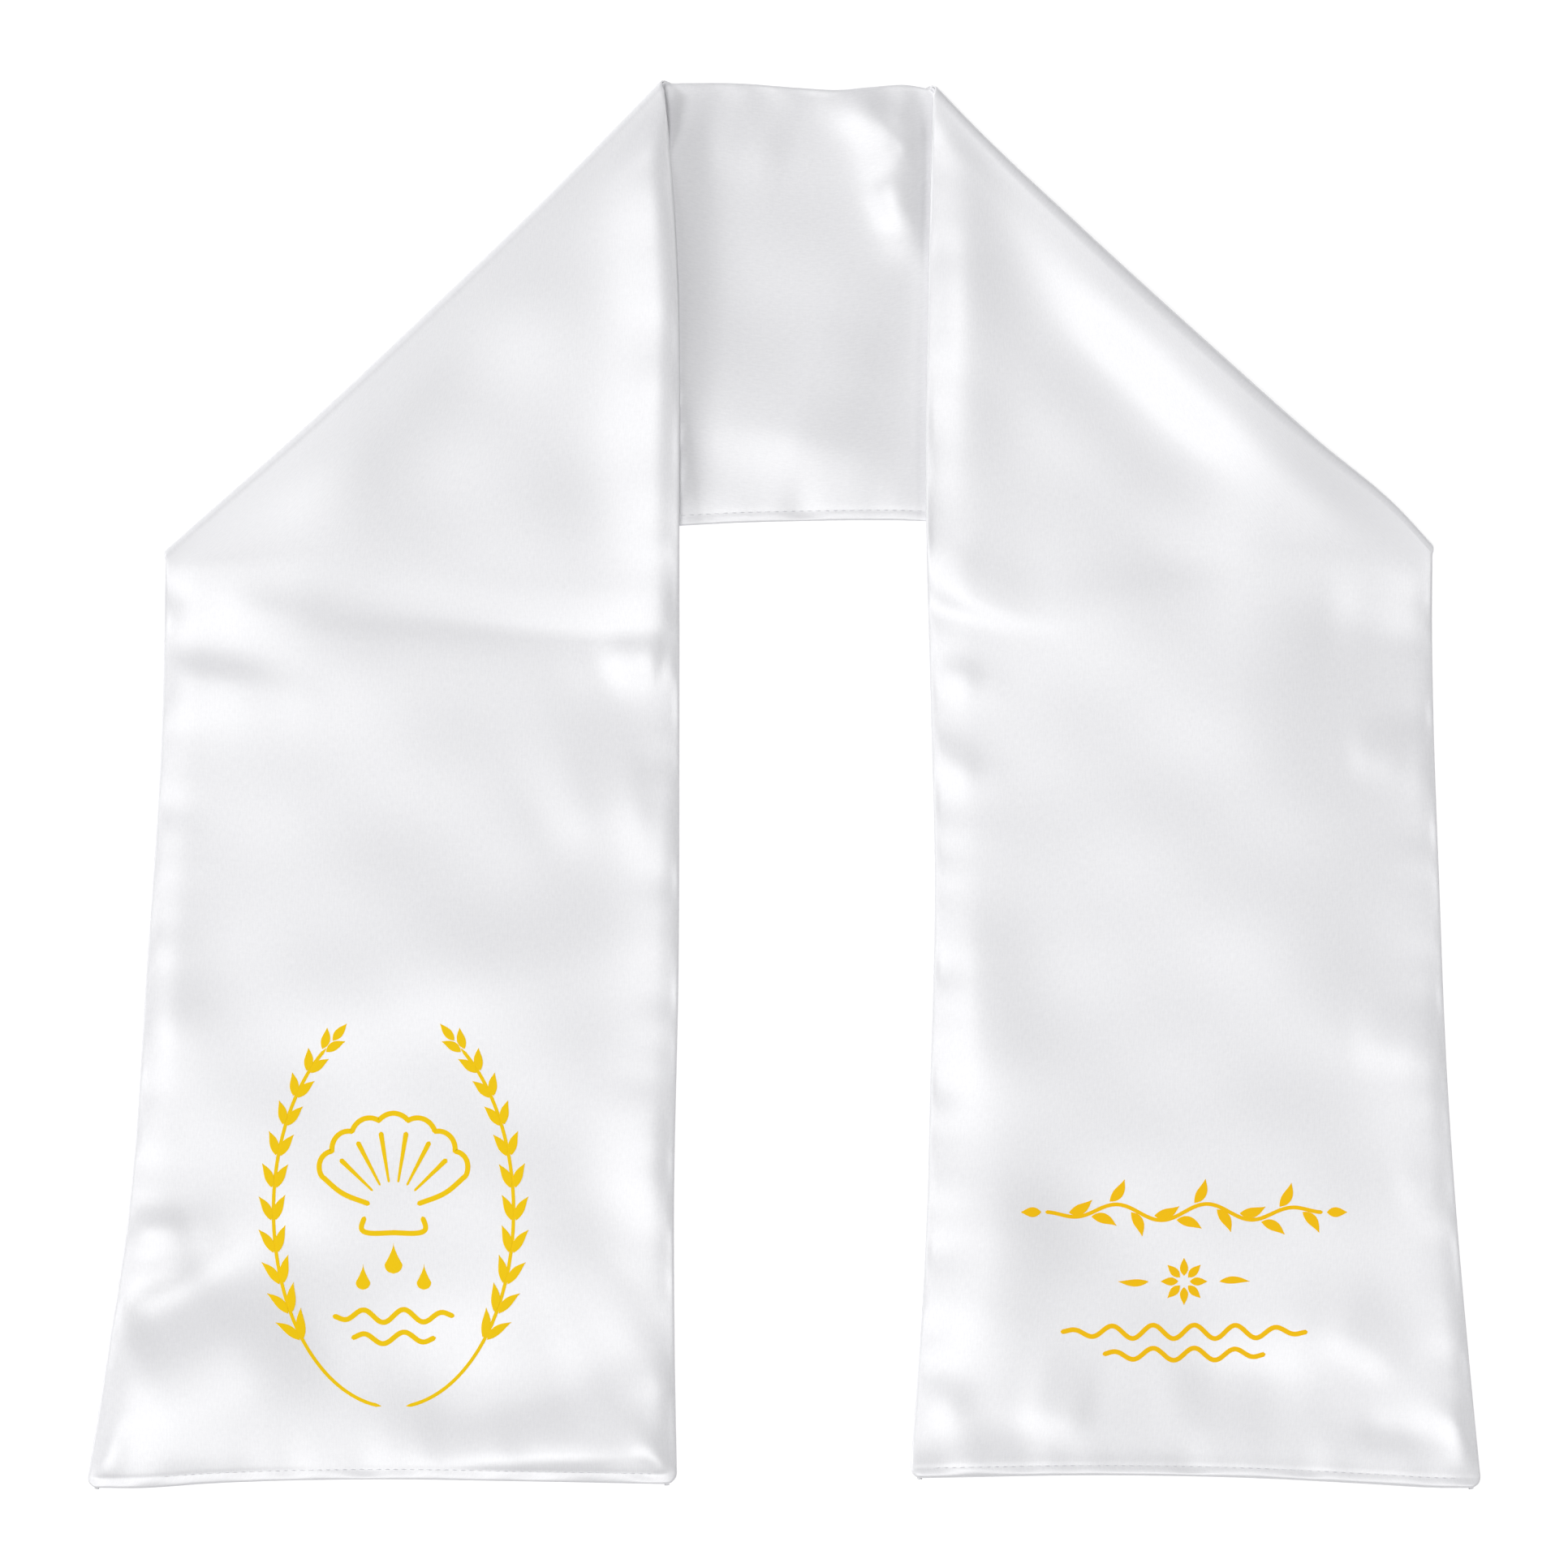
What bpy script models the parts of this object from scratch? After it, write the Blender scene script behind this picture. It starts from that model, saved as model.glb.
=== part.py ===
"""Baptism stole: a satin band of two panels, folded over at both shoulders and laid on a table.

At the neck the band lies across with its back panel on top. At each shoulder it turns over on a
diagonal roll, so both arms lie on the neck stretch and run down with the front panel on top.

Metres, +X to the right, +Y towards the neck, +Z up. The origin is on the table, under the middle
of the outline.

The whole stole is four surfaces, numbered from the back panel's face to the front panel's face:
0 and 1 are the two sides of the back panel's wall, 2 and 3 those of the front panel's. Every one is
a grid of rows along the band and columns across it. "across" is 0 on the edge that is the top of
the neck and the inner side of the arms, and 1 on the edge that is the bottom of the neck and the
outer side of the arms.
"""

from collections import namedtuple
from dataclasses import dataclass

import bmesh
import bpy
import numpy as np

# The cloth
WALL = 0.0010  # one panel at a seam
PANEL_GAP = 0.0003  # clearance between the two panels
ARM_FILL = 0.0012  # what each wall gains by the middle of an arm
NECK_FILL = 0.0008  # the same in the middle of the neck
PRESSED_FILL = 0.0003  # the same where an arm lies on the neck stretch
THINNEST_WALL = 0.0009
THICKEST_WALL = 0.0030
EDGE_RISE = 0.014  # how far in from an edge the cloth reaches its full thickness
EDGE_POWER = 0.6  # roundness of that rise
CORNER_RADIUS = 0.0035  # the turned corners of a hem

# The two shoulder folds
ROLL_RADIUS = 0.0040  # outside of the roll along most of the fold
ROLL_END_RADIUS = 0.0029  # outside of the roll at the seamed edges, which lie flatter
ROLL_END_LENGTH = 0.2  # share of the width over which it opens from one to the other
ROLL_SETTLE = 0.016  # distance from the fold over which an arm comes down onto the neck
ROLL_SLIP = 0.003  # how far along the fold an edge moves as it goes round the roll

# How the arms lie
SHELF = 0.0034  # underside of an arm over the neck stretch
SHELF_OVERHANG = 0.002  # how far past the neck's lower edge an arm keeps that height
SHELF_OVERHANG_OUTSIDE = 0.008  # the same at the arm's outer edge
NECK_MIDDLE = 0.0054  # middle of the neck, a little right of the middle of the outline
PINCH_MARGIN = 0.004  # how far from an arm the neck stays pressed flat by it
PINCH = 0.012  # distance over which the neck fills out from there

# The grid
COLUMNS = 15
NECK_ROWS = 10
NECK_ROW_POWER = 1.4  # above 1, rows are closer together at the middle of the neck
ROLL_ROWS = 7
SHELF_ROWS = 8
SHELF_ROW_POWER = 1.5  # above 1, rows are closer together next to the roll
SLOPE_ROWS = 3
ARM_ROWS = 17
HEM_ROWS = (0.0068, CORNER_RADIUS, 0.0017, 0.0005, 0.0)  # distances from the hem

# Offsets of the four surfaces from the front panel's face, at a seam
OFFSETS = np.array([2 * WALL + PANEL_GAP, WALL + PANEL_GAP, WALL, 0.0])

NeckSection = namedtuple("NeckSection", "x top bottom")
ArmSection = namedtuple("ArmSection", "y inner outer")
HemPoint = namedtuple("HemPoint", "across y")
LandingPoint = namedtuple("LandingPoint", "across y")
FoldPoint = namedtuple("FoldPoint", "across inside")
SoftFold = namedtuple("SoftFold", "start end height width")

# Upper and lower edge of the neck stretch, also where it runs on under the arms
NECK = (
    NeckSection(-0.1820, 0.2082, 0.0690),
    NeckSection(-0.0330, 0.2081, 0.0762),
    NeckSection(-0.0140, 0.2074, 0.0772),
    NeckSection(0.0050, 0.2058, 0.0777),
    NeckSection(0.0155, 0.2053, 0.0779),
    NeckSection(0.0260, 0.2064, 0.0780),
    NeckSection(0.0360, 0.2073, 0.0779),
    NeckSection(0.0450, 0.2062, 0.0775),
    NeckSection(0.1900, 0.2060, 0.0710),
)

# Soft folds of the neck's upper panel
NECK_FOLDS = (
    SoftFold((0.011, 0.196), (0.036, 0.158), 0.0004, 0.007),
    SoftFold((-0.026, 0.186), (0.002, 0.176), 0.0003, 0.010),
    SoftFold((0.030, 0.140), (0.022, 0.086), -0.0003, 0.009),
)


@dataclass(frozen=True)
class Arm:
    """One arm with its shoulder fold: its outline, and how it lies."""

    fold_top: tuple  # outline of the roll at the top of the neck
    fold_corner: tuple  # outline of the roll at the arm's outer corner
    fold_line: tuple  # how far the roll's outline lies inside the straight line between the two
    sections: tuple  # edges of the arm, from the fold down
    hem: tuple  # where the hem lies
    landing: tuple  # where the arm comes down onto the table
    folds: tuple  # soft folds of the upper panel


LEFT_ARM = Arm(
    fold_top=(-0.0362, 0.2081),
    fold_corner=(-0.1832, 0.0688),
    fold_line=(
        FoldPoint(0.00, 0.0000),
        FoldPoint(0.25, 0.0018),
        FoldPoint(0.50, 0.0022),
        FoldPoint(0.75, 0.0018),
        FoldPoint(0.90, 0.0007),
        FoldPoint(1.00, 0.0000),
    ),
    sections=(
        ArmSection(0.2080, -0.0360, -0.1828),
        ArmSection(0.1900, -0.0340, -0.1828),
        ArmSection(0.1530, -0.0316, -0.1828),
        ArmSection(0.0680, -0.0309, -0.1829),
        ArmSection(0.0160, -0.0309, -0.1840),
        ArmSection(-0.0515, -0.0311, -0.1883),
        ArmSection(-0.1280, -0.0325, -0.1940),
        ArmSection(-0.1670, -0.0323, -0.1998),
        ArmSection(-0.2070, -0.0316, -0.2062),
    ),
    hem=(
        HemPoint(0.00, -0.2070),
        HemPoint(0.25, -0.2062),
        HemPoint(0.52, -0.2056),
        HemPoint(0.80, -0.2068),
        HemPoint(0.93, -0.2082),
        HemPoint(1.00, -0.2081),
    ),
    landing=(
        LandingPoint(0.00, 0.0440),
        LandingPoint(0.45, 0.0470),
        LandingPoint(0.72, 0.0500),
        LandingPoint(1.00, 0.0500),
    ),
    folds=(
        SoftFold((-0.090, 0.118), (-0.132, 0.090), 0.0005, 0.009),
        SoftFold((-0.186, 0.046), (-0.148, 0.052), 0.0006, 0.006),
        SoftFold((-0.184, 0.033), (-0.142, 0.036), -0.0007, 0.005),
        SoftFold((-0.184, 0.020), (-0.146, 0.022), 0.0005, 0.007),
        SoftFold((-0.036, 0.054), (-0.084, 0.050), 0.0005, 0.007),
        SoftFold((-0.181, -0.034), (-0.172, -0.080), -0.0005, 0.009),
        SoftFold((-0.172, -0.092), (-0.030, -0.050), 0.0006, 0.016),
        SoftFold((-0.198, -0.166), (-0.132, -0.124), -0.0007, 0.008),
        SoftFold((-0.162, -0.152), (-0.106, -0.162), 0.0005, 0.012),
        SoftFold((-0.108, -0.177), (-0.030, -0.142), -0.0007, 0.008),
    ),
)

RIGHT_ARM = Arm(
    fold_top=(0.0448, 0.2067),
    fold_corner=(0.1916, 0.0702),
    fold_line=(
        FoldPoint(0.00, 0.0002),
        FoldPoint(0.08, 0.0011),
        FoldPoint(0.30, 0.0015),
        FoldPoint(0.55, 0.0010),
        FoldPoint(0.77, 0.0000),
        FoldPoint(0.92, -0.0016),
        FoldPoint(1.00, -0.0004),
    ),
    sections=(
        ArmSection(0.2060, 0.0433, 0.1912),
        ArmSection(0.1530, 0.0424, 0.1912),
        ArmSection(0.0800, 0.0419, 0.1913),
        ArmSection(0.0160, 0.0435, 0.1921),
        ArmSection(-0.0270, 0.0445, 0.1936),
        ArmSection(-0.0900, 0.0431, 0.1962),
        ArmSection(-0.1280, 0.0421, 0.1988),
        ArmSection(-0.1670, 0.0400, 0.2022),
        ArmSection(-0.2070, 0.0369, 0.2061),
    ),
    hem=(
        HemPoint(0.00, -0.2052),
        HemPoint(0.35, -0.2044),
        HemPoint(0.62, -0.2053),
        HemPoint(0.80, -0.2068),
        HemPoint(0.95, -0.2081),
        HemPoint(1.00, -0.2081),
    ),
    landing=(
        LandingPoint(0.00, 0.0540),
        LandingPoint(0.20, 0.0470),
        LandingPoint(0.50, 0.0500),
        LandingPoint(0.75, 0.0500),
        LandingPoint(1.00, 0.0410),
    ),
    folds=(
        SoftFold((0.078, 0.162), (0.146, 0.094), 0.0006, 0.009),
        SoftFold((0.066, 0.150), (0.068, 0.098), -0.0007, 0.010),
        SoftFold((0.060, 0.058), (0.130, 0.062), -0.0005, 0.006),
        SoftFold((0.046, 0.054), (0.098, 0.046), 0.0005, 0.006),
        SoftFold((0.120, 0.050), (0.188, 0.036), 0.0005, 0.007),
        SoftFold((0.058, -0.046), (0.062, -0.102), -0.0005, 0.010),
        SoftFold((0.172, -0.070), (0.182, -0.100), 0.0005, 0.010),
        SoftFold((0.070, -0.192), (0.092, -0.184), 0.0005, 0.010),
        SoftFold((0.172, -0.196), (0.192, -0.160), 0.0006, 0.010),
    ),
)


def mix(start, end, share):
    """The value that lies this share of the way from start to end."""
    return start + (end - start) * share


def smooth(share):
    """0 below 0, 1 above 1, and level at both ends."""
    share = np.clip(share, 0, 1)
    return share * share * (3 - 2 * share)


def edge_rise(distance):
    """How much of its full thickness the cloth has at this distance in from an edge."""
    left = 1 - np.clip(distance / EDGE_RISE, 0, 1)
    return (1 - left * left) ** EDGE_POWER


def read_table(rows, place, column, at):
    """A column of a table at the given places, on a smooth curve through its rows."""
    pairs = sorted((getattr(row, place), getattr(row, column)) for row in rows)
    places, values = np.array(pairs).T
    slopes = np.gradient(values, places)
    before = np.clip(np.searchsorted(places, at) - 1, 0, len(places) - 2)
    after = before + 1
    step = places[after] - places[before]
    u = np.clip((at - places[before]) / step, 0, 1)
    v = 1 - u
    ends = v * v * (1 + 2 * u) * values[before] + u * u * (1 + 2 * v) * values[after]
    return ends + step * u * v * (v * slopes[before] - u * slopes[after])


def fold_heights(folds, x, y):
    """What the soft folds add to a height: each is a ridge or a trough along a short line."""
    total = np.zeros(np.broadcast(x, y).shape)
    for fold in folds:
        start = np.array(fold.start)
        run = np.array(fold.end) - start
        length = np.hypot(*run)
        ahead = run / length
        forward = (x - start[0]) * ahead[0] + (y - start[1]) * ahead[1]
        sideways = (y - start[1]) * ahead[0] - (x - start[0]) * ahead[1]
        past_end = np.maximum(0, np.abs(forward - length / 2) - length / 2)
        total += fold.height * np.exp(-(sideways**2 + past_end**2) / fold.width**2)
    return total


def roll_frame(arm, across):
    """Plan of the roll: its axis at each column, the way along the fold, and the way out of it."""
    top, corner = np.array(arm.fold_top), np.array(arm.fold_corner)
    along = (corner - top) / np.hypot(*(corner - top))
    out = np.array([abs(along[1]) * np.sign(corner[0]), abs(along[0])])
    inside = roll_radius(across) + read_table(arm.fold_line, "across", "inside", across)
    axis = mix(top, corner, across[:, None]) - inside[:, None] * out
    return axis, along, out


def roll_radius(across):
    """Outside radius of the roll at each column."""
    from_end = np.minimum(across, 1 - across)
    return mix(ROLL_END_RADIUS, ROLL_RADIUS, smooth(from_end / ROLL_END_LENGTH))


def stack_rows(x, y, heights):
    """Joins plan and heights into rows x surfaces x columns x XYZ."""
    heights = np.stack(heights, axis=1)
    plan = [np.broadcast_to(value[:, None, :], heights.shape) for value in (x, y)]
    return np.stack([*plan, heights], axis=-1)


def neck_rows(arm, across, shares):
    """Rows of the neck stretch on one side, at these shares of the way from its middle to the roll."""
    axis, along, out = roll_frame(arm, across)
    end_x, end_y = (axis - along * ROLL_SLIP / 2).T
    share = shares[:, None]
    x = mix(NECK_MIDDLE, end_x, share)
    top, bottom = (read_table(NECK, "x", edge, x) for edge in ("top", "bottom"))
    end_top, end_bottom = (read_table(NECK, "x", edge, end_x) for edge in ("top", "bottom"))
    y = mix(top, bottom, across) + (end_y - mix(end_top, end_bottom, across)) * share**2
    arm_edge = read_table(arm.sections, "y", "inner", y)
    clear_of_arm = smooth(((arm_edge - x) * np.sign(arm_edge) - PINCH_MARGIN) / PINCH)
    rise = edge_rise(top - y) * edge_rise(y - bottom)
    rise = rise * smooth(np.abs(end_x - x) * abs(out[0]) / ROLL_SETTLE)
    wall = WALL + rise * mix(PRESSED_FILL, NECK_FILL, clear_of_arm)
    folds = fold_heights(NECK_FOLDS, x, y) * rise * clear_of_arm
    upper = np.clip(wall + folds, THINNEST_WALL, THICKEST_WALL)
    middle = wall + PANEL_GAP
    return stack_rows(x, y, [middle + upper, middle, wall, np.zeros_like(wall)])


def roll_rows(arm, across):
    """Rows round the shoulder roll, from just above its foot to its top."""
    axis, along, out = roll_frame(arm, across)
    outside = roll_radius(across)
    turn = np.linspace(-np.pi / 2, np.pi / 2, ROLL_ROWS + 1)[1:, None, None]
    radius = outside - OFFSETS[:, None]
    centre = axis + along * (turn[..., None] / np.pi) * ROLL_SLIP
    plan = centre + (radius * np.cos(turn))[..., None] * out
    height = outside + radius * np.sin(turn)
    return np.concatenate([plan, height[..., None]], axis=-1)


def arm_rows(arm, across):
    """Rows of one arm, from just after the roll down to the hem."""
    axis, along, out = roll_frame(arm, across)
    start_x, start_y = (axis + along * ROLL_SLIP / 2).T
    hem_y = read_table(arm.hem, "across", "y", across)
    landing_y = read_table(arm.landing, "across", "y", across)
    neck_edge = read_table(NECK, "x", "bottom", start_x)
    shelf_y = neck_edge - mix(SHELF_OVERHANG, SHELF_OVERHANG_OUTSIDE, across)
    last_y = hem_y + HEM_ROWS[0]
    stretches = (
        mix(start_y, shelf_y, np.linspace(0, 1, SHELF_ROWS + 1)[1:, None] ** SHELF_ROW_POWER),
        mix(shelf_y, landing_y, np.linspace(0, 1, SLOPE_ROWS + 1)[1:, None]),
        mix(landing_y, last_y, np.linspace(0, 1, ARM_ROWS + 1)[1:-1, None]),
        hem_y + np.array(HEM_ROWS)[:, None],
    )
    y = np.concatenate(stretches)

    inner, outer = arm_edges(arm, y, hem_y)
    start_inner, start_outer = arm_edges(arm, start_y, hem_y)
    shift = start_x - mix(start_inner, start_outer, across)
    fading = np.clip((y - landing_y) / (start_y - landing_y), 0, 1) ** 2
    x = mix(inner, outer, across) + shift * fading

    from_roll = (start_y - y) * out[1]
    settled = smooth(from_roll / ROLL_SETTLE)
    lift = 2 * roll_radius(across) - OFFSETS[0] - SHELF
    base = SHELF * smooth((y - landing_y) / (shelf_y - landing_y)) + lift * (1 - settled)
    rise = edge_rise(np.abs(x - inner)) * edge_rise(np.abs(outer - x)) * edge_rise(y - hem_y)
    rise = rise * settled
    wall = WALL + ARM_FILL * rise
    upper = np.clip(wall + fold_heights(arm.folds, x, y) * rise, THINNEST_WALL, THICKEST_WALL)
    middle = base + wall + PANEL_GAP
    return stack_rows(x, y, [base, base + wall, middle, middle + upper])


def arm_edges(arm, y, hem_y):
    """Inner and outer edge of an arm at these heights, drawn in round the corners of the hem."""
    inner, outer = (read_table(arm.sections, "y", edge, y) for edge in ("inner", "outer"))
    short = np.clip(CORNER_RADIUS - (y - hem_y), 0, CORNER_RADIUS)
    inset = CORNER_RADIUS - np.sqrt(CORNER_RADIUS**2 - short**2)
    inset = inset * np.sign(outer - inner)
    return inner + inset, outer - inset


def stole_surfaces():
    """All four surfaces: rows from the left hem to the right hem x surfaces x columns x XYZ."""
    across = (1 - np.cos(np.linspace(0, np.pi, COLUMNS))) / 2
    shares = np.linspace(0, 1, NECK_ROWS + 1) ** NECK_ROW_POWER
    middle = neck_rows(LEFT_ARM, across, shares[:1])
    left, right = (
        np.concatenate([neck_rows(arm, across, shares[1:]), roll_rows(arm, across), arm_rows(arm, across)])
        for arm in (LEFT_ARM, RIGHT_ARM)
    )
    return np.concatenate([left[::-1], middle, right])


def loft_panel(name, one_side, other_side, material, collection):
    """A closed wall lofted through rings: each goes across on one side and back on the other."""
    rings = np.concatenate([one_side, other_side[:, ::-1]], axis=1)
    size = rings.shape[1]
    shape = bmesh.new()
    loops = [[shape.verts.new(point) for point in ring] for ring in rings.tolist()]
    for ring, following in zip(loops, loops[1:]):
        for i in range(size):
            after = (i + 1) % size
            shape.faces.new((ring[i], ring[after], following[after], following[i]))
    for ring in (loops[0], loops[-1]):
        for i in range(size // 2 - 1):
            shape.faces.new((ring[i], ring[i + 1], ring[size - 2 - i], ring[size - 1 - i]))
    bmesh.ops.recalc_face_normals(shape, faces=shape.faces)
    mesh = bpy.data.meshes.new(name)
    shape.to_mesh(mesh)
    shape.free()
    mesh.shade_smooth()
    mesh.set_sharp_from_angle(angle=np.radians(50))
    mesh.materials.append(material)
    collection.objects.link(bpy.data.objects.new(name, mesh))


def satin(name, colour, roughness):
    """White polyester satin."""
    material = bpy.data.materials.new(name)
    material.use_nodes = True
    shader = material.node_tree.nodes["Principled BSDF"]
    shader.inputs["Base Color"].default_value = (*colour, 1.0)
    shader.inputs["Roughness"].default_value = roughness
    shader.inputs["Metallic"].default_value = 0.0
    return material


def main():
    """Clears the scene and makes the stole's two panels."""
    for thing in list(bpy.data.objects):
        bpy.data.objects.remove(thing, do_unlink=True)
    collection = bpy.data.collections.new("baptism_stole")
    bpy.context.scene.collection.children.link(collection)
    surfaces = stole_surfaces()
    back = satin("white_satin_back", (0.80, 0.80, 0.82), 0.42)
    front = satin("white_satin_front", (0.84, 0.84, 0.85), 0.40)
    loft_panel("back_panel", surfaces[:, 0], surfaces[:, 1], back, collection)
    loft_panel("front_panel", surfaces[:, 3], surfaces[:, 2], front, collection)


main()
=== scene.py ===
"""Looks of a baptism stole: a satin band folded over at both shoulders and laid flat on a table.

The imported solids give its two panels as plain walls. Here each panel is a thin satin shell on the
form of its solid, worked out again on a finer grid, with its creases, puckers and sewn edges. The
gold print and the stitches lie on those shells.

Sizes are in millimetres, with +X to the right, +Y towards the neck and +Z up, from a point on the
table under the middle of the outline, and they are turned to metres where a mesh is made. "across"
is a share of the band's width: 0 on the edge that is the top of the neck and the inner side of both
arms, 1 on the edge that is the bottom of the neck and the outer side of both arms.
"""

import logging
from dataclasses import dataclass
from enum import Enum
from typing import NamedTuple

import bpy
import numpy as np
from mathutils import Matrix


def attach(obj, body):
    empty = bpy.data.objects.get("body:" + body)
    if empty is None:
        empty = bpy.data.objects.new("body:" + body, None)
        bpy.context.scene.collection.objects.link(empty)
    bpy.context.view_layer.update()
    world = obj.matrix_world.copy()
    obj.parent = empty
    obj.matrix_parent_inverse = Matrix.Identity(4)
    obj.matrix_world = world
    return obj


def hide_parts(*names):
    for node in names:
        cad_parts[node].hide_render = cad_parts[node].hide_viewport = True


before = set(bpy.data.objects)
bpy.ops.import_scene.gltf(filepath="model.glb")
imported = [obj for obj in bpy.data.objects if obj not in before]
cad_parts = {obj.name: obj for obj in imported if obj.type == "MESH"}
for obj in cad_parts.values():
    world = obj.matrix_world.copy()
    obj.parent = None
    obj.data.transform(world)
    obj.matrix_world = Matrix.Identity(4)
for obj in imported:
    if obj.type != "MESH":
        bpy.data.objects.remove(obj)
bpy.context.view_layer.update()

Array = np.ndarray
MM = 0.001
BODY = "root"
CLOTH_MAP = "cloth"
SHARP_ANGLE = 60.0  # degrees past which an edge between two faces looks sharp
log = logging.getLogger("baptism_stole")


# Rows of the tables that the shapes are read from


class Face(Enum):
    """The band's two outer faces, by their place in an array of surfaces."""

    BACK = 0
    FRONT = 1


class NeckSection(NamedTuple):
    """Upper and lower edge of the neck stretch at one place along it."""

    x: float
    top: float
    bottom: float


class ArmSection(NamedTuple):
    """Inner and outer edge of an arm at one height in plan."""

    y: float
    inner: float
    outer: float


class HemPoint(NamedTuple):
    """Where the hem lies at one place across it."""

    across: float
    y: float


class LandingPoint(NamedTuple):
    """Where an arm has come down onto the table at a place across it, and the quick share of that."""

    across: float
    y: float
    quick: float


class LiftPoint(NamedTuple):
    """How far an arm's two edges stand up from what they lie on, at one height in plan."""

    y: float
    inner: float
    outer: float


class FoldPoint(NamedTuple):
    """How far the roll's outline lies inside the straight line between its ends."""

    across: float
    inside: float


class SeamPoint(NamedTuple):
    """One step round a turned seam: its place in from the edge, and its share of the half height."""

    inset: float
    lift: float


class FilmPoint(NamedTuple):
    """One given point of a printed curve, by the way travelled to it."""

    travel: float
    x: float
    y: float


class Swell(NamedTuple):
    """One slow wave of cloth that doesn't lie quite flat: its length, direction, start and height."""

    length: float
    turn: float
    phase: float
    height: float


def rows_of(kind: type, *rows: tuple) -> tuple:
    """Makes the rows of a table, each of this kind and from its own values."""
    return tuple(kind(*row) for row in rows)


def mix(start: Array, end: Array, share: Array) -> Array:
    """The value that lies this share of the way from start to end."""
    return start + (end - start) * share


def smooth(share: Array) -> Array:
    """0 below 0, 1 above 1, and level at both ends."""
    share = np.clip(share, 0, 1)
    return share * share * (3 - 2 * share)


def bell(distance: Array, width: Array) -> Array:
    """A bell curve: 1 at no distance, and 0.37 at one width."""
    return np.exp(-((distance / width) ** 2))


def read_table(rows: tuple, place: str, column: str, at: Array) -> Array:
    """Reads one column of a table on a smooth curve through its rows.

    Args:
        rows: the table's rows.
        place: the column that says where a row is.
        column: the column to read.
        at: the places to read it at.

    Returns:
        The column's values there, by cubic pieces that share their slopes at the rows.
    """
    pairs = sorted((getattr(row, place), getattr(row, column)) for row in rows)
    places, values = np.array(pairs).T
    slopes = np.gradient(values, places)
    before = np.clip(np.searchsorted(places, at) - 1, 0, len(places) - 2)
    after = before + 1
    step = places[after] - places[before]
    u = np.clip((at - places[before]) / step, 0, 1)
    v = 1 - u
    ends = v * v * (1 + 2 * u) * values[before] + u * u * (1 + 2 * v) * values[after]
    return ends + step * u * v * (v * slopes[before] - u * slopes[after])


# The cloth: how thick it is, how it fills out from its edges, and how it creases


@dataclass(frozen=True)
class Cloth:
    """The sewn band's thicknesses, and how it fills out from its edges."""

    wall: float = 0.65  # one panel's share of the thickness at a seam
    gap: float = 0.3
    arm_fill: float = 0.7
    neck_fill: float = 0.12
    least: float = 1.1  # thickness that is left where a crease presses it
    least_turn: float = 0.12  # how softly it comes to that
    quick_fill: float = 0.3  # share of the fill that it has close to its edges
    slow_reach: float = 45.0  # distance over which it takes on the rest
    corner_radius: float = 3.5
    satin: float = 0.45  # the satin itself with its interlining
    groove_inset: float = 3.0  # where the stitches run, in from the edge
    groove_width: float = 0.75
    groove_depth: float = 0.10
    pucker_start: float = 2.5  # distance from the edge over which the puckers grow
    pucker_reach: float = 10.0  # and over which they die away

    @property
    def seam_half(self) -> float:
        """Half of the thickness at a seam."""
        return self.wall + self.gap / 2

    def rise(self, distances: list[Array], reaches: list[float]) -> Array:
        """How free of its edges the cloth is: 0 on an edge, and 1 from the reach of each edge on."""
        left = [1 - np.clip(distance / reach, 0, 1) for distance, reach in zip(distances, reaches)]
        return np.prod([1 - share * share for share in left], axis=0)

    def fill(self, distances: list[Array], reaches: list[float]) -> Array:
        """Share of the full filling: a part that comes at once, and a part that comes slowly."""
        slow = self.rise(distances, [self.slow_reach] * len(distances))
        return self.rise(distances, reaches) * mix(slow, 1, self.quick_fill)

    def pressed(self, thickness: Array) -> Array:
        """The thickness, kept above the least by a curve that bends from it to level."""
        over = (thickness - self.least) / self.least_turn
        return self.least + self.least_turn * np.logaddexp(0, over)

    def groove(self, distance: Array) -> Array:
        """Depth of the groove that the stitches pull into a face."""
        return self.groove_depth * bell(distance - self.groove_inset, self.groove_width)


CLOTH = Cloth()

# A turned seam from the stitch line, out over the fold and up onto the face
SEAM = rows_of(
    SeamPoint,
    (0.20, 0.07), (0.05, 0.20), (0.00, 0.42), (0.04, 0.64), (0.17, 0.83), (0.40, 0.95), (0.75, 1.00),
)

# The slow waves that a thin satin keeps after pressing
SWELLS = rows_of(
    Swell,
    (118.0, 0.35, 0.4, 0.16), (87.0, 2.05, 2.1, 0.14), (64.0, 1.10, 4.0, 0.10),
    (49.0, 2.70, 1.3, 0.08), (38.0, 0.80, 5.2, 0.05), (31.0, 1.75, 3.3, 0.04),
)

# The short puckers along a seam, as waves of its length
PUCKERS = rows_of(
    Swell,
    (41.0, 0.0, 0.7, 0.10), (27.0, 0.0, 2.9, 0.09), (17.5, 0.0, 4.4, 0.07), (11.8, 0.0, 1.8, 0.05),
)


def swell_heights(swells: tuple[Swell, ...], x: Array, y: Array) -> Array:
    """Sum of waves: each is its height times the sine of its phase plus the turns along its way.

    Args:
        swells: the waves.
        x: places in plan.
        y: the same.

    Returns:
        The heights, in an array like x and y.
    """
    total = np.zeros(np.broadcast(x, y).shape)
    for swell in swells:
        way = x * np.cos(swell.turn) + y * np.sin(swell.turn)
        total += swell.height * np.sin(2 * np.pi * way / swell.length + swell.phase)
    return total


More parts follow.
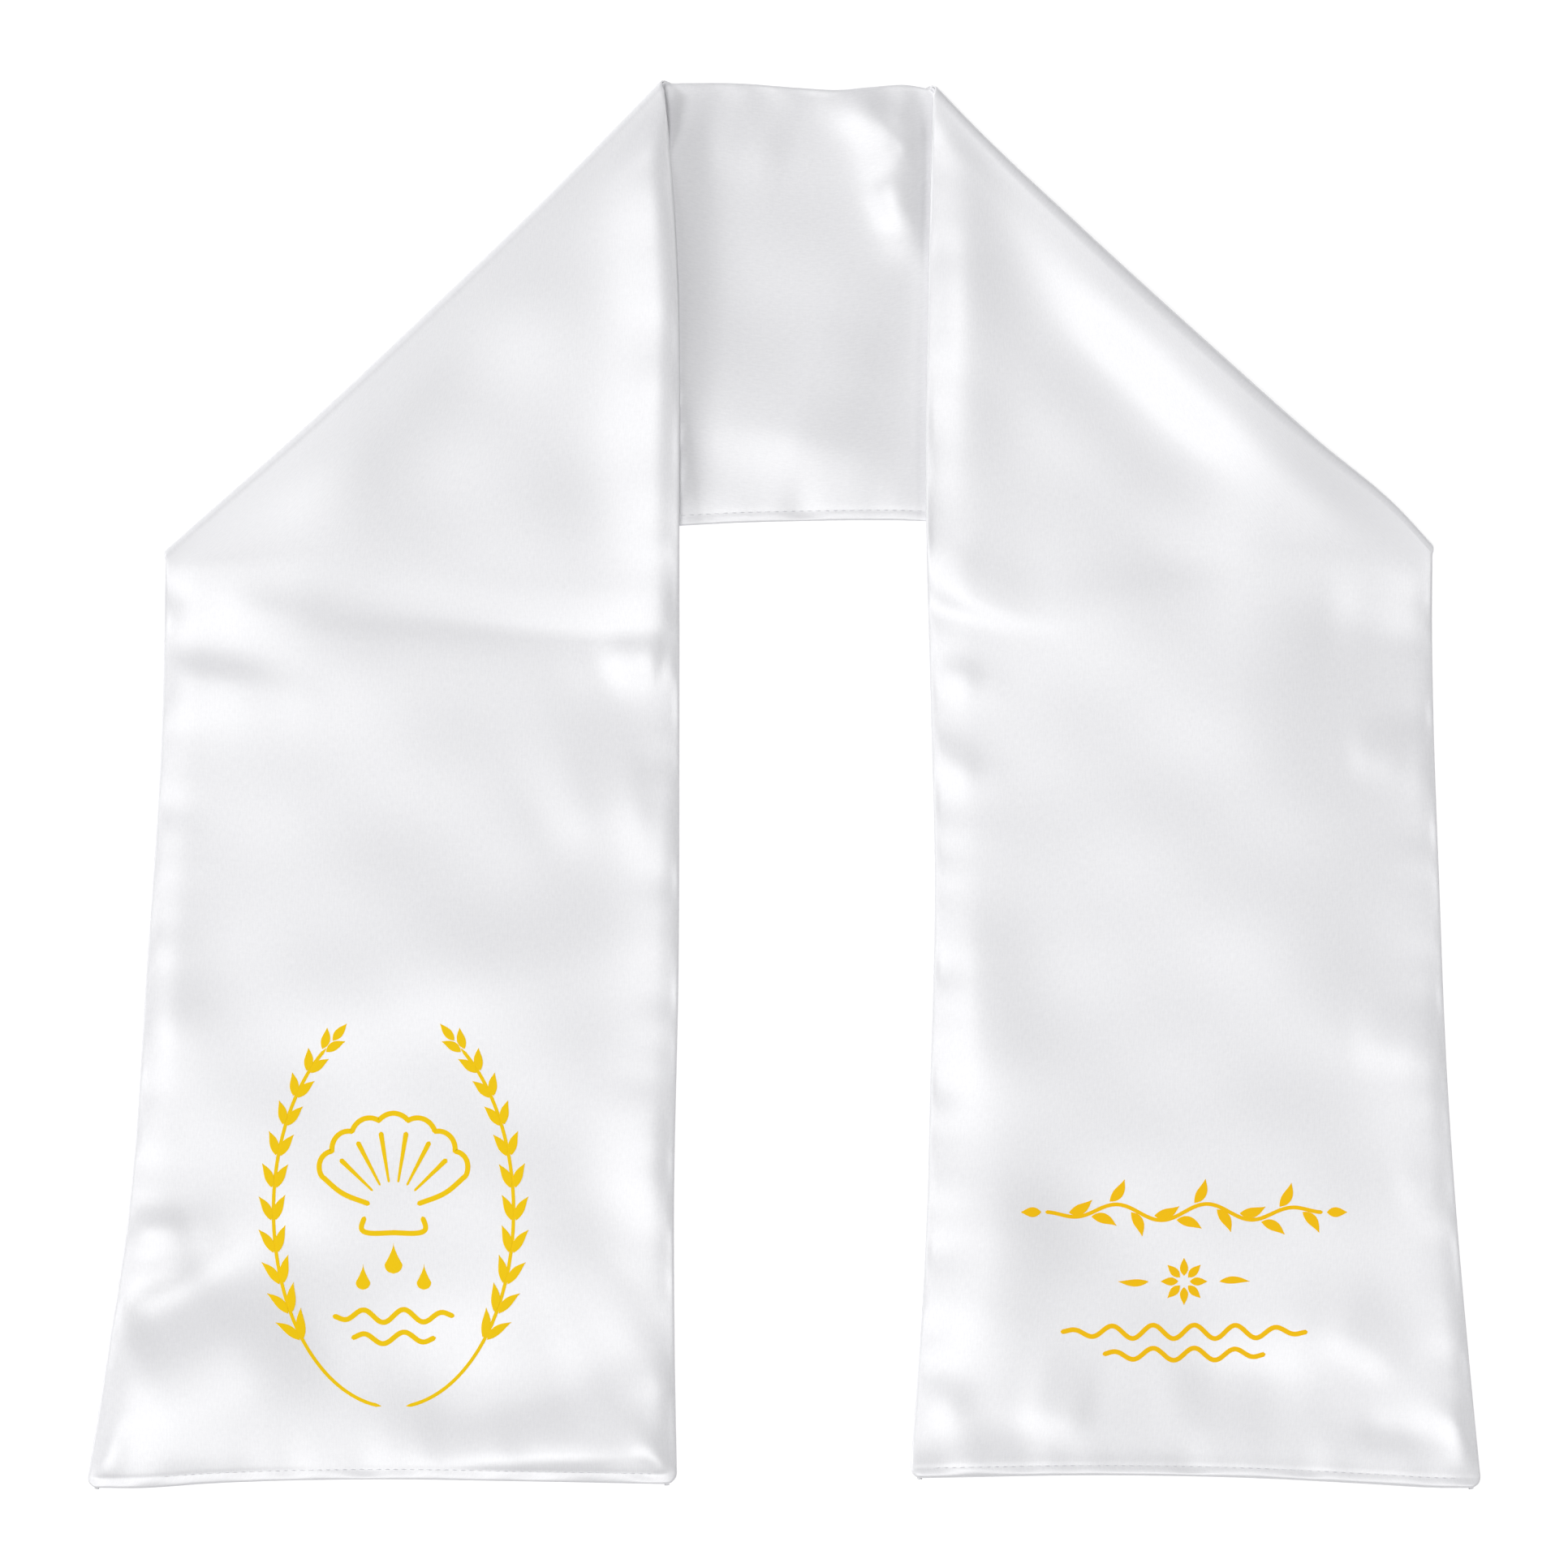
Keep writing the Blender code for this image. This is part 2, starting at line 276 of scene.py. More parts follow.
def pucker_heights(place: Array, distance: Array, start: float) -> Array:
    """Puckers beside a seam: waves along it that grow from the stitches and die away inwards.

    Args:
        place: the place along the seam.
        distance: the distance in from it.
        start: where this seam's waves start, so that no two seams are alike.

    Returns:
        The height that they add.
    """
    waves = swell_heights(PUCKERS, place + start, np.zeros(()))
    return waves * bell(distance, CLOTH.pucker_reach) * smooth(distance / CLOTH.pucker_start)


@dataclass(frozen=True)
class Crease:
    """A soft ridge, or a trough where its height is below 0, along a bent line."""

    start: tuple[float, float]
    bend: tuple[float, float]
    end: tuple[float, float]
    height: float
    left: float  # width on the left of the way from start to end
    right: float  # width on the right of it
    steps: int = 12
    thin_end: float = 0.25  # share of the height that is left at both ends
    taper: float = 0.35  # share of the length over which an end thins out
    reach: float = 2.6  # widths past which nothing is left of it

    def line(self) -> Array:
        """Works out the line: a quadratic curve that passes through the bend half way.

        Returns:
            Its points.
        """
        start, bend, end = (np.array(p) for p in (self.start, self.bend, self.end))
        share = np.linspace(0, 1, self.steps + 1)[:, None]
        pull = 2 * bend - (start + end) / 2
        return mix(mix(start, pull, share), mix(pull, end, share), share)

    def heights(self, x: Array, y: Array) -> Array:
        """What the crease adds to a height.

        The height at a point is the crease's own, times its taper at the nearest point of the line,
        times a bell curve of the distance to it. The bell's width turns from the left one to the
        right one with the angle between the line and the way to the point.

        Args:
            x: places in plan.
            y: the same.

        Returns:
            The heights, in an array like x and y.
        """
        x, y = np.broadcast_arrays(x, y)
        total = np.zeros(x.shape)
        line = self.line()
        margin = self.reach * max(self.left, self.right)
        low, high = line.min(axis=0) - margin, line.max(axis=0) + margin
        close = (x > low[0]) & (x < high[0]) & (y > low[1]) & (y < high[1])
        px, py = x[close], y[close]
        nearest, along, side = np.full(px.shape, np.inf), np.zeros(px.shape), np.zeros(px.shape)
        for i, (a, b) in enumerate(zip(line, line[1:])):
            run = b - a
            share = np.clip(((px - a[0]) * run[0] + (py - a[1]) * run[1]) / (run @ run), 0, 1)
            off_x, off_y = px - a[0] - share * run[0], py - a[1] - share * run[1]
            distance = np.hypot(off_x, off_y)
            nearer = distance < nearest
            turned = (run[0] * off_y - run[1] * off_x) / (np.hypot(*run) * np.maximum(distance, 1e-6))
            nearest = np.where(nearer, distance, nearest)
            along = np.where(nearer, (i + share) / self.steps, along)
            side = np.where(nearer, turned, side)
        width = mix(self.right, self.left, (1 + side) / 2)
        thinning = smooth(np.minimum(along, 1 - along) / self.taper)
        total[close] = self.height * mix(self.thin_end, 1, thinning) * bell(nearest, width)
        return total


def crease_heights(creases: tuple[Crease, ...], x: Array, y: Array) -> Array:
    """Sum of the heights of several creases."""
    return sum((crease.heights(x, y) for crease in creases), np.zeros(np.broadcast(x, y).shape))


def stack_faces(x: Array, y: Array, back: Array, front: Array) -> Array:
    """Joins plan and the heights of the back and front face into faces x XYZ at each place."""
    x, y, back, front = np.broadcast_arrays(x, y, back, front)
    return np.stack([np.stack([x, y, height], axis=-1) for height in (back, front)], axis=-2)


# The parts of the band: shoulder rolls, arms and neck stretch


# Edges of the neck stretch, also where it runs on under the arms
NECK_EDGES = rows_of(
    NeckSection,
    (-182.0, 208.2, 69.0), (-33.0, 208.1, 76.2), (-14.0, 207.4, 77.2), (5.0, 205.8, 77.7),
    (15.5, 205.3, 77.9), (26.0, 206.4, 78.0), (36.0, 207.3, 77.9), (45.0, 206.2, 77.5),
    (190.0, 206.0, 71.0),
)


@dataclass(frozen=True)
class ShoulderRoll:
    """One shoulder fold, where the band rolls over on a diagonal."""

    top: tuple[float, float]  # outline of the roll at the top of the neck
    corner: tuple[float, float]  # outline of the roll at the arm's outer corner
    line: tuple[FoldPoint, ...]
    radius: float = 4.0
    top_radius: float = 2.9
    corner_radius: float = 2.3
    end_length: float = 0.4
    flatness: float = 2.5  # 2 is a round roll, and more is a flatter top on a steeper side
    settle: float = 16.0  # distance over which the arm comes down from the roll
    slip: float = 3.0  # how far along the fold an edge moves as it goes round
    rows: int = 16

    def radius_at(self, across: Array) -> Array:
        """Works out the roll's outside radius, which is smaller at the seamed edges.

        Args:
            across: places across the band.

        Returns:
            The radius at each.
        """
        from_end = np.minimum(across, 1 - across)
        end = np.where(across < 0.5, self.top_radius, self.corner_radius)
        return mix(end, self.radius, smooth(from_end / self.end_length))

    def plan(self, across: Array) -> tuple[Array, Array, Array]:
        """Works out the plan of the roll.

        Args:
            across: places across the band.

        Returns:
            Its axis at each place, the way along the fold, and the way out of it.
        """
        top, corner = np.array(self.top), np.array(self.corner)
        along = (corner - top) / np.hypot(*(corner - top))
        out = np.array([abs(along[1]) * np.sign(corner[0]), abs(along[0])])
        inside = self.radius_at(across) + read_table(self.line, "across", "inside", across)
        return mix(top, corner, across[..., None]) - inside[..., None] * out, along, out

    def surface(self, across: Array, lift: Array) -> Array:
        """Works out both faces round the roll, from just above its foot to its top.

        A face is half a turn about the axis, at the roll's middle radius with half of the seam's
        thickness added or taken away, and its centre slips along the fold as it turns. Its sine and
        cosine are raised to 2 over the flatness.

        Args:
            across: places across the band.
            lift: share of the seam's half height at each of them.

        Returns:
            An array of rows x faces x columns x XYZ.
        """
        axis, along, out = self.plan(across)
        outside = self.radius_at(across)
        turn = np.linspace(-np.pi / 2, np.pi / 2, self.rows + 1)[1:, None, None]
        sides = np.array([[-1.0], [1.0]])
        radius = outside - CLOTH.seam_half + sides * lift * CLOTH.seam_half
        centre = axis + along * (turn[..., None] / np.pi) * self.slip
        flat = 2 / self.flatness
        plan = centre + (radius * np.cos(turn).clip(0) ** flat)[..., None] * out
        height = outside + radius * np.sign(turn) * np.abs(np.sin(turn)) ** flat
        return np.concatenate([plan, height[..., None]], axis=-1)


@dataclass(frozen=True)
class Arm:
    """One arm, from its shoulder roll down to its hem: its outline, and how it lies."""

    roll: ShoulderRoll
    sections: tuple[ArmSection, ...]
    hem: tuple[HemPoint, ...]
    landing: tuple[LandingPoint, ...]
    creases: tuple[Crease, ...]
    under_creases: tuple[Crease, ...]
    lifts: tuple[LiftPoint, ...]
    phase: float  # where the arm's slow waves and puckers start
    inner_reach: float  # distances over which it fills out from its edges
    outer_reach: float
    hem_reach: float
    shelf: float = 2.0  # underside of the arm over the neck stretch
    overhang: float = 2.0  # how far past the neck's lower edge it keeps that height
    outer_overhang: float = 4.0
    sag: float = 160.0  # distance over which the front face sinks slowly to the table
    drop: float = 14.0  # distance over which the rest of it comes down
    front_settle: float = 32.0  # distance over which the front face comes down from the roll
    crest: float = 4.0  # how far from the roll that starts
    quick_settle: float = 0.45  # share of the way down that it comes over that distance
    quick_place: float = 0.43  # where across the band that is so,
    quick_width: float = 0.23  # and how wide
    slow_settle: float = 100.0  # distance over which it comes down the rest
    sag_start: float = 36.0  # distance from the roll over which it starts to sink
    lift_start: float = 8.0  # and over which the edges start to stand up
    lift_reach: float = 14.0
    hem_lift: float = 0.0  # how far the hem's front stands up over its seam allowance
    hem_lift_reach: float = 5.0
    hem_loft: float = 0.0  # how much sooner the cloth above the hem has filled out
    hem_loft_reach: float = 20.0
    hem_sewn: tuple[float, float] = (0.04, 0.96)  # where across it the hem's stitches start and end
    pinch_margin: float = 0.6  # how far from its inner edge the neck stretch is pressed flat

    def start(self, across: Array) -> tuple[Array, Array]:
        """Finds where the arm leaves the roll.

        Args:
            across: places across the band.

        Returns:
            X and Y there.
        """
        axis, along, _ = self.roll.plan(across)
        start = axis + along * self.roll.slip / 2
        return start[..., 0], start[..., 1]

    def shelf_end(self, across: Array) -> Array:
        """Y where the arm starts to come down from the neck stretch."""
        neck_edge = read_table(NECK_EDGES, "x", "bottom", self.start(across)[0])
        return neck_edge - mix(self.overhang, self.outer_overhang, across)

    def edges(self, y: Array, hem_y: Array) -> tuple[Array, Array]:
        """Finds the arm's two edges, drawn in by a quarter circle at each corner of the hem.

        Args:
            y: heights in plan.
            hem_y: where the hem lies.

        Returns:
            X of the inner and of the outer edge.
        """
        inner, outer = (read_table(self.sections, "y", edge, y) for edge in ("inner", "outer"))
        radius = CLOTH.corner_radius
        short = np.clip(radius - (y - hem_y), 0, radius)
        inset = (radius - np.sqrt(radius**2 - short**2)) * np.sign(outer - inner)
        return inner + inset, outer - inset

    def surface(self, across: Array, y: Array, lift: Array | float = 1.0) -> Array:
        """Works out both faces of the arm.

        The back face is the shelf that the neck stretch gives it, then the table. The front face is
        one thickness above, which grows from the edges and the roll, with the creases, slow waves
        and puckers added, and it sinks to the table and from the roll over a longer way. At a seam
        both come together by the lift.

        Args:
            across: places across the band.
            y: heights in plan.
            lift: share of the seam's half height.

        Returns:
            An array of faces x XYZ at each place.
        """
        start_x, start_y = self.start(across)
        hem_y = read_table(self.hem, "across", "y", across)
        landing_y = read_table(self.landing, "across", "y", across)
        inner, outer = self.edges(y, hem_y)
        start_inner, start_outer = self.edges(start_y, hem_y)
        fading = np.clip((y - landing_y) / (start_y - landing_y), 0, 1) ** 2
        x = mix(inner, outer, across) + (start_x - mix(start_inner, start_outer, across)) * fading

        out_y = self.roll.plan(across)[2][1]
        from_roll = (start_y - y) * out_y
        settled = smooth(from_roll / self.roll.settle)
        above_shelf = 2 * (self.roll.radius_at(across) - CLOTH.seam_half) - self.shelf
        up = y - landing_y
        coming_down = smooth(up / (self.shelf_end(across) - landing_y))
        base = self.shelf * coming_down + above_shelf * (1 - settled)
        quick = read_table(self.landing, "across", "quick", across)
        short = 1 - np.clip(up / self.drop, 0, 1)
        front_down = mix(smooth(up / self.sag), 1 - short * short, quick)
        past_crest = from_roll - self.crest
        quickly = smooth(past_crest / (self.front_settle - self.crest))
        quick_share = self.quick_settle * bell(across - self.quick_place, self.quick_width)
        front_settled = mix(smooth(past_crest / self.slow_settle), quickly, quick_share)
        sag = self.shelf * (front_down - coming_down) * smooth(past_crest / self.sag_start)
        loft = above_shelf * (settled - front_settled)

        from_inner, from_outer, from_hem = np.abs(x - inner), np.abs(outer - x), y - hem_y
        inner_lift, outer_lift = (read_table(self.lifts, "y", edge, y) for edge in ("inner", "outer"))
        lifted = inner_lift * bell(from_inner, self.lift_reach)
        lifted = lifted + outer_lift * bell(from_outer, self.lift_reach)
        base = base + lifted * smooth(from_roll / self.lift_start)
        distances = [from_inner, from_outer, from_hem]
        reaches = [self.inner_reach, self.outer_reach, self.hem_reach]
        rise = CLOTH.rise(distances, reaches) * settled
        puckers = pucker_heights(y, from_inner, self.phase) + pucker_heights(y, from_outer, -self.phase)
        puckers = (puckers + pucker_heights(x, from_hem, 2 * self.phase)) * settled
        waves = swell_heights(SWELLS, x + self.phase, y) * rise
        relief = (crease_heights(self.creases, x, y) + sag) * rise + waves + puckers
        relief = relief + loft * CLOTH.rise(distances, reaches)
        relief = relief + self.hem_lift * bell(from_hem, self.hem_lift_reach)
        relief = relief + self.hem_loft * bell(from_hem, self.hem_loft_reach) - CLOTH.groove(from_hem)
        under = crease_heights(self.under_creases, x, y) * rise + CLOTH.groove(from_hem)
        fill = CLOTH.fill(distances, reaches) * front_settled
        thick = 2 * (CLOTH.wall + CLOTH.arm_fill * fill) + CLOTH.gap
        lower = base + mix(CLOTH.seam_half, np.abs(under), lift)
        upper = base + mix(CLOTH.seam_half, CLOTH.pressed(thick + relief), lift)
        return stack_faces(x, y, lower, upper)

    def across_at(self, x: Array, y: Array) -> Array:
        """Share of the width at places between the landing and the hem's corners."""
        inner, outer = (read_table(self.sections, "y", edge, y) for edge in ("inner", "outer"))
        return (x - inner) / (outer - inner)

    def front_height(self, x: Array, y: Array) -> Array:
        """Height of the front face at places between the landing and the hem's corners."""
        return self.surface(self.across_at(x, y), y)[..., Face.FRONT.value, 2]


@dataclass(frozen=True)
class Neck:
    """The neck stretch, which lies on the table between the two rolls with its back panel up."""

    creases: tuple[Crease, ...]
    under_creases: tuple[Crease, ...]
    middle: float = 5.4
    width: float = 130.0
    pinch: float = 3.0  # distance over which it is free from where an arm presses it
    groove_end: float = 3.0  # how many pinches under the arm the stitches' groove runs on
    edge_reach: float = 11.0  # the same for its sewn edges
    phase: float = 23.0

    def surface(self, arm: Arm, across: Array, share: Array, lift: Array | float = 1.0) -> Array:
        """Works out both faces of the neck stretch, from its middle to one roll.

        It lies on the table, one thickness high, with its own creases, waves and puckers, and it is
        pressed flat where the arm lies on it. Its back panel is the upper face.

        Args:
            arm: the arm on that side.
            across: places across the band.
            share: shares of the way from the middle to the roll.
            lift: share of the seam's half height.

        Returns:
            An array of faces x XYZ at each place.
        """
        axis, along, out = arm.roll.plan(across)
        end = axis - along * arm.roll.slip / 2
        end_x, end_y = end[..., 0], end[..., 1]
        x = mix(self.middle, end_x, share)
        top, bottom = (read_table(NECK_EDGES, "x", edge, x) for edge in ("top", "bottom"))
        end_top, end_bottom = (read_table(NECK_EDGES, "x", edge, end_x) for edge in ("top", "bottom"))
        y = mix(top, bottom, across) + (end_y - mix(end_top, end_bottom, across)) * share**2

        arm_edge = read_table(arm.sections, "y", "inner", y)
        from_arm = (arm_edge - x) * np.sign(arm_edge)
        clear = smooth((from_arm - arm.pinch_margin) / self.pinch)
        from_top, from_bottom = top - y, y - bottom
        distances, reaches = [from_top, from_bottom], [self.edge_reach] * 2
        settled = smooth(np.abs(end_x - x) * abs(out[0]) / arm.roll.settle)
        rise = CLOTH.rise(distances, reaches) * settled
        fill = CLOTH.fill(distances, reaches) * settled
        thick = 2 * (CLOTH.wall + CLOTH.neck_fill * fill) + CLOTH.gap
        puckers = pucker_heights(x, from_top, self.phase) + pucker_heights(x, from_bottom, -self.phase)
        waves = swell_heights(SWELLS, x, y + self.phase) * rise
        groove = CLOTH.groove(from_bottom) * smooth(from_arm / self.pinch + self.groove_end)
        relief = crease_heights(self.creases, x, y) * rise + waves + puckers
        under = crease_heights(self.under_creases, x, y) * rise
        lower = mix(CLOTH.seam_half, np.abs(under) + groove, lift)
        upper = mix(CLOTH.seam_half, thick + relief * clear - groove, lift)
        return stack_faces(x, y, upper, lower)


LEFT_ARM = Arm(
    roll=ShoulderRoll(
        top=(-36.2, 208.1),
        corner=(-183.2, 68.8),
        line=rows_of(
            FoldPoint,
            (0.00, 0.0), (0.25, 1.8), (0.50, 2.2), (0.75, 1.8), (0.90, 0.7), (1.00, 0.0),
        ),
        radius=3.1,
        top_radius=2.7,
    ),
    sections=rows_of(
        ArmSection,
        (208.0, -36.0, -182.8), (190.0, -34.0, -182.8), (153.0, -31.6, -182.8),
        (68.0, -30.9, -182.9), (16.0, -30.9, -184.0), (-51.5, -31.1, -188.3),
        (-128.0, -32.5, -194.0), (-167.0, -32.3, -199.8), (-207.0, -31.6, -206.2),
    ),
    hem=rows_of(
        HemPoint,
        (0.00, -207.0), (0.25, -206.2), (0.52, -205.6), (0.80, -206.8), (0.93, -208.2), (1.00, -208.1),
    ),
    landing=rows_of(
        LandingPoint,
        (0.00, 44.0, 0.44), (0.26, 45.0, 0.36), (0.50, 48.5, 0.12), (0.72, 49.0, 0.10),
        (1.00, 45.0, 0.10),
    ),
    creases=rows_of(
        Crease,
        ((-187, 48), (-170, 52), (-146, 52), 0.6, 10, 9),
        ((-168, 72), (-104, 63), (-44, 58), 0.25, 26, 13),
        ((-168, 55), (-128, 43), (-56, 37), 0.55, 8, 18),
        ((-189, 29), (-172, 31), (-144, 26), 0.85, 6, 11),
        ((-35, 38), (-43, 38), (-56, 34), 1.0, 8, 7),
        ((-37, 142), (-39, 104), (-39, 58), 0.8, 6, 14),
        ((-36, -3), (-52, -5), (-74, -13), 1.0, 12, 18),
        ((-183, -26), (-185.5, -56), (-187, -86), 0.95, 15, 5),
        ((-170, -74), (-100, -60), (-32, -38), 0.9, 24, 15),
        ((-40, -86), (-42, -106), (-40, -132), 0.7, 8, 13),
        ((-198, -131), (-186, -132), (-174, -130), 0.9, 5, 5),
        ((-199, -148), (-186, -147), (-170, -139), 0.8, 6, 6),
        ((-200, -160), (-180, -152), (-150, -134), -1.9, 9, 12),
        ((-203, -192), (-172, -179), (-136, -160), 2.0, 22, 16),
        ((-128, -175), (-74, -178), (-28, -146), -2.0, 17, 15),
        ((-66, -186), (-46, -178), (-28, -166), 0.8, 26, 16),
        ((-104, -199), (-72, -199), (-38, -196), 1.2, 16, 5),
        ((-205, -205), (-200.5, -199), (-197, -189), 1.0, 3.5, 5),
        ((-33, -205), (-38, -199), (-44, -192), 0.9, 4, 4),
    ),
    under_creases=rows_of(
        Crease,
        ((-60, 20), (-100, -6), (-150, -10), 0.4, 9, 14),
        ((-178, -60), (-130, -84), (-60, -90), 0.45, 12, 9),
        ((-50, -120), (-96, -150), (-170, -150), 0.4, 8, 12),
        ((-60, -190), (-110, -184), (-180, -192), 0.3, 6, 8),
    ),
    lifts=rows_of(
        LiftPoint,
        (205.0, 0.5, 0.0), (188.0, 1.9, 0.0), (150.0, 2.8, 0.0), (120.0, 2.4, 0.0), (75.0, 1.9, 0.0),
        (50.0, 1.5, 0.0), (25.0, 1.4, 0.0), (-20.0, 1.3, 0.0), (-60.0, 1.5, 0.0), (-104.0, 1.9, 0.0),
        (-130.0, 1.3, 0.0), (-152.0, 0.1, 0.0), (-170.0, 0.1, 0.0), (-205.0, 0.2, 0.0),
    ),
    phase=11.0,
    inner_reach=7.0,
    outer_reach=10.0,
    hem_reach=10.0,
    front_settle=26.0,
    hem_sewn=(0.04, 0.87),
    pinch_margin=-6.0,
)

RIGHT_ARM = Arm(
    roll=ShoulderRoll(
        top=(44.8, 206.7),
        corner=(191.6, 70.2),
        line=rows_of(
            FoldPoint,
            (0.00, 0.2), (0.08, 1.1), (0.30, 1.5), (0.55, 1.0), (0.77, 0.0), (0.92, -1.6), (1.00, -0.4),
        ),
        radius=3.5,
        top_radius=2.5,
        corner_radius=2.0,
        flatness=3.2,
    ),
    sections=rows_of(
        ArmSection,
        (206.0, 43.3, 191.2), (153.0, 42.4, 191.2), (80.0, 41.9, 191.3), (16.0, 43.5, 192.1),
        (-27.0, 44.5, 193.6), (-90.0, 43.1, 196.2), (-128.0, 42.1, 198.8), (-167.0, 40.0, 202.2),
        (-207.0, 36.9, 206.1),
    ),
    hem=rows_of(
        HemPoint,
        (0.00, -205.2), (0.35, -204.4), (0.62, -205.3), (0.80, -206.8), (0.95, -208.1), (1.00, -208.1),
    ),
    landing=rows_of(
        LandingPoint,
        (0.00, 52.0, 0.15), (0.20, 45.0, 0.10), (0.50, 48.0, 0.04), (0.75, 46.0, 0.05),
        (1.00, 40.0, 0.15),
    ),
    creases=rows_of(
        Crease,
        ((66, 157), (100, 114), (146, 80), -1.5, 12, 16),
        ((52, 184), (52, 130), (51, 66), 1.2, 14, 9),
        ((42, 62), (54, 55), (78, 49), 0.65, 14, 4.5),
        ((80, 52), (125, 56), (165, 60), 0.3, 9, 28),
        ((160, 54), (177, 52), (194, 47), 0.5, 9, 16),
        ((44, 32), (50, 31), (60, 29), 0.7, 5, 6),
        ((44, 5), (50, 4), (60, 3), 0.6, 5, 6),
        ((166, 9), (175, 9), (186, 6), 0.45, 8, 6),
        ((54, -20), (58, -66), (63, -112), 0.8, 15, 9),
        ((66, -112), (63, -145), (55, -178), 1.1, 16, 11),
        ((166, -76), (180, -77), (192, -80), 0.5, 11, 7),
        ((68, -183), (80, -186), (93, -189), 0.8, 14, 6),
        ((40, -181), (47, -184), (54, -190), 0.6, 6, 6),
        ((44, -200), (58, -203), (76, -202), 0.9, 9, 4),
        ((157, -161), (172, -166), (186, -176), 0.7, 14, 6),
        ((180, -120), (188, -119), (196, -121), 0.3, 9, 6),
        ((166, -190), (180, -191), (193, -193), -0.6, 6, 5),
        ((112, -178), (135, -175), (158, -179), -0.8, 9, 16),
        ((194, -185), (200, -191), (205, -201), 0.8, 4, 5),
    ),
    under_creases=rows_of(
        Crease,
        ((60, 24), (104, 2), (170, -4), 0.4, 12, 9),
        ((186, -50), (130, -76), (66, -70), 0.45, 10, 13),
        ((56, -126), (110, -138), (186, -160), 0.4, 12, 8),
        ((70, -190), (120, -186), (180, -194), 0.3, 7, 7),
    ),
    lifts=rows_of(
        LiftPoint,
        (205.0, 0.2, 0.0), (175.0, 0.7, 0.0), (75.0, 0.7, 0.0), (45.0, 0.2, 0.0), (-10.0, 0.0, 0.4),
        (-90.0, 0.0, 1.3), (-130.0, 0.0, 1.6), (-170.0, 0.0, 1.2), (-205.0, 0.0, 0.3),
    ),
    phase=37.0,
    inner_reach=14.0,
    outer_reach=6.5,
    hem_reach=10.0,
    crest=5.0,
    front_settle=25.0,
    quick_settle=0.25,
    quick_width=0.21,
    slow_settle=150.0,
    sag_start=50.0,
    lift_reach=18.0,
    hem_lift=0.9,
    hem_loft=0.8,
)

NECK = Neck(
    creases=rows_of(
        Crease,
        ((8, 206), (29, 194), (38, 163), 1.2, 6, 8),
        ((29, 181), (33, 172), (35, 162), 1.0, 5, 6),
        ((-24, 191), (-11, 190), (4, 187), 0.6, 16, 10),
        ((-32, 106), (-6, 107), (22, 98), 1.4, 36, 13),
        ((25, 140), (20, 110), (18, 84), 0.7, 13, 13),
        ((-38, 240), (-38, 150), (-38, 66), 4.3, 12, 5),
        ((38, 206), (36, 200), (31, 194), 1.0, 2.5, 3),
        ((41, 198), (37, 191), (33, 187), 0.7, 2.5, 3),
    ),
    under_creases=rows_of(
        Crease,
        ((-110, 120), (-60, 128), (0, 112), 0.4, 10, 14),
        ((20, 160), (70, 130), (120, 96), 0.4, 13, 9),
        ((-40, 96), (0, 90), (60, 98), 0.3, 7, 8),
    ),
)


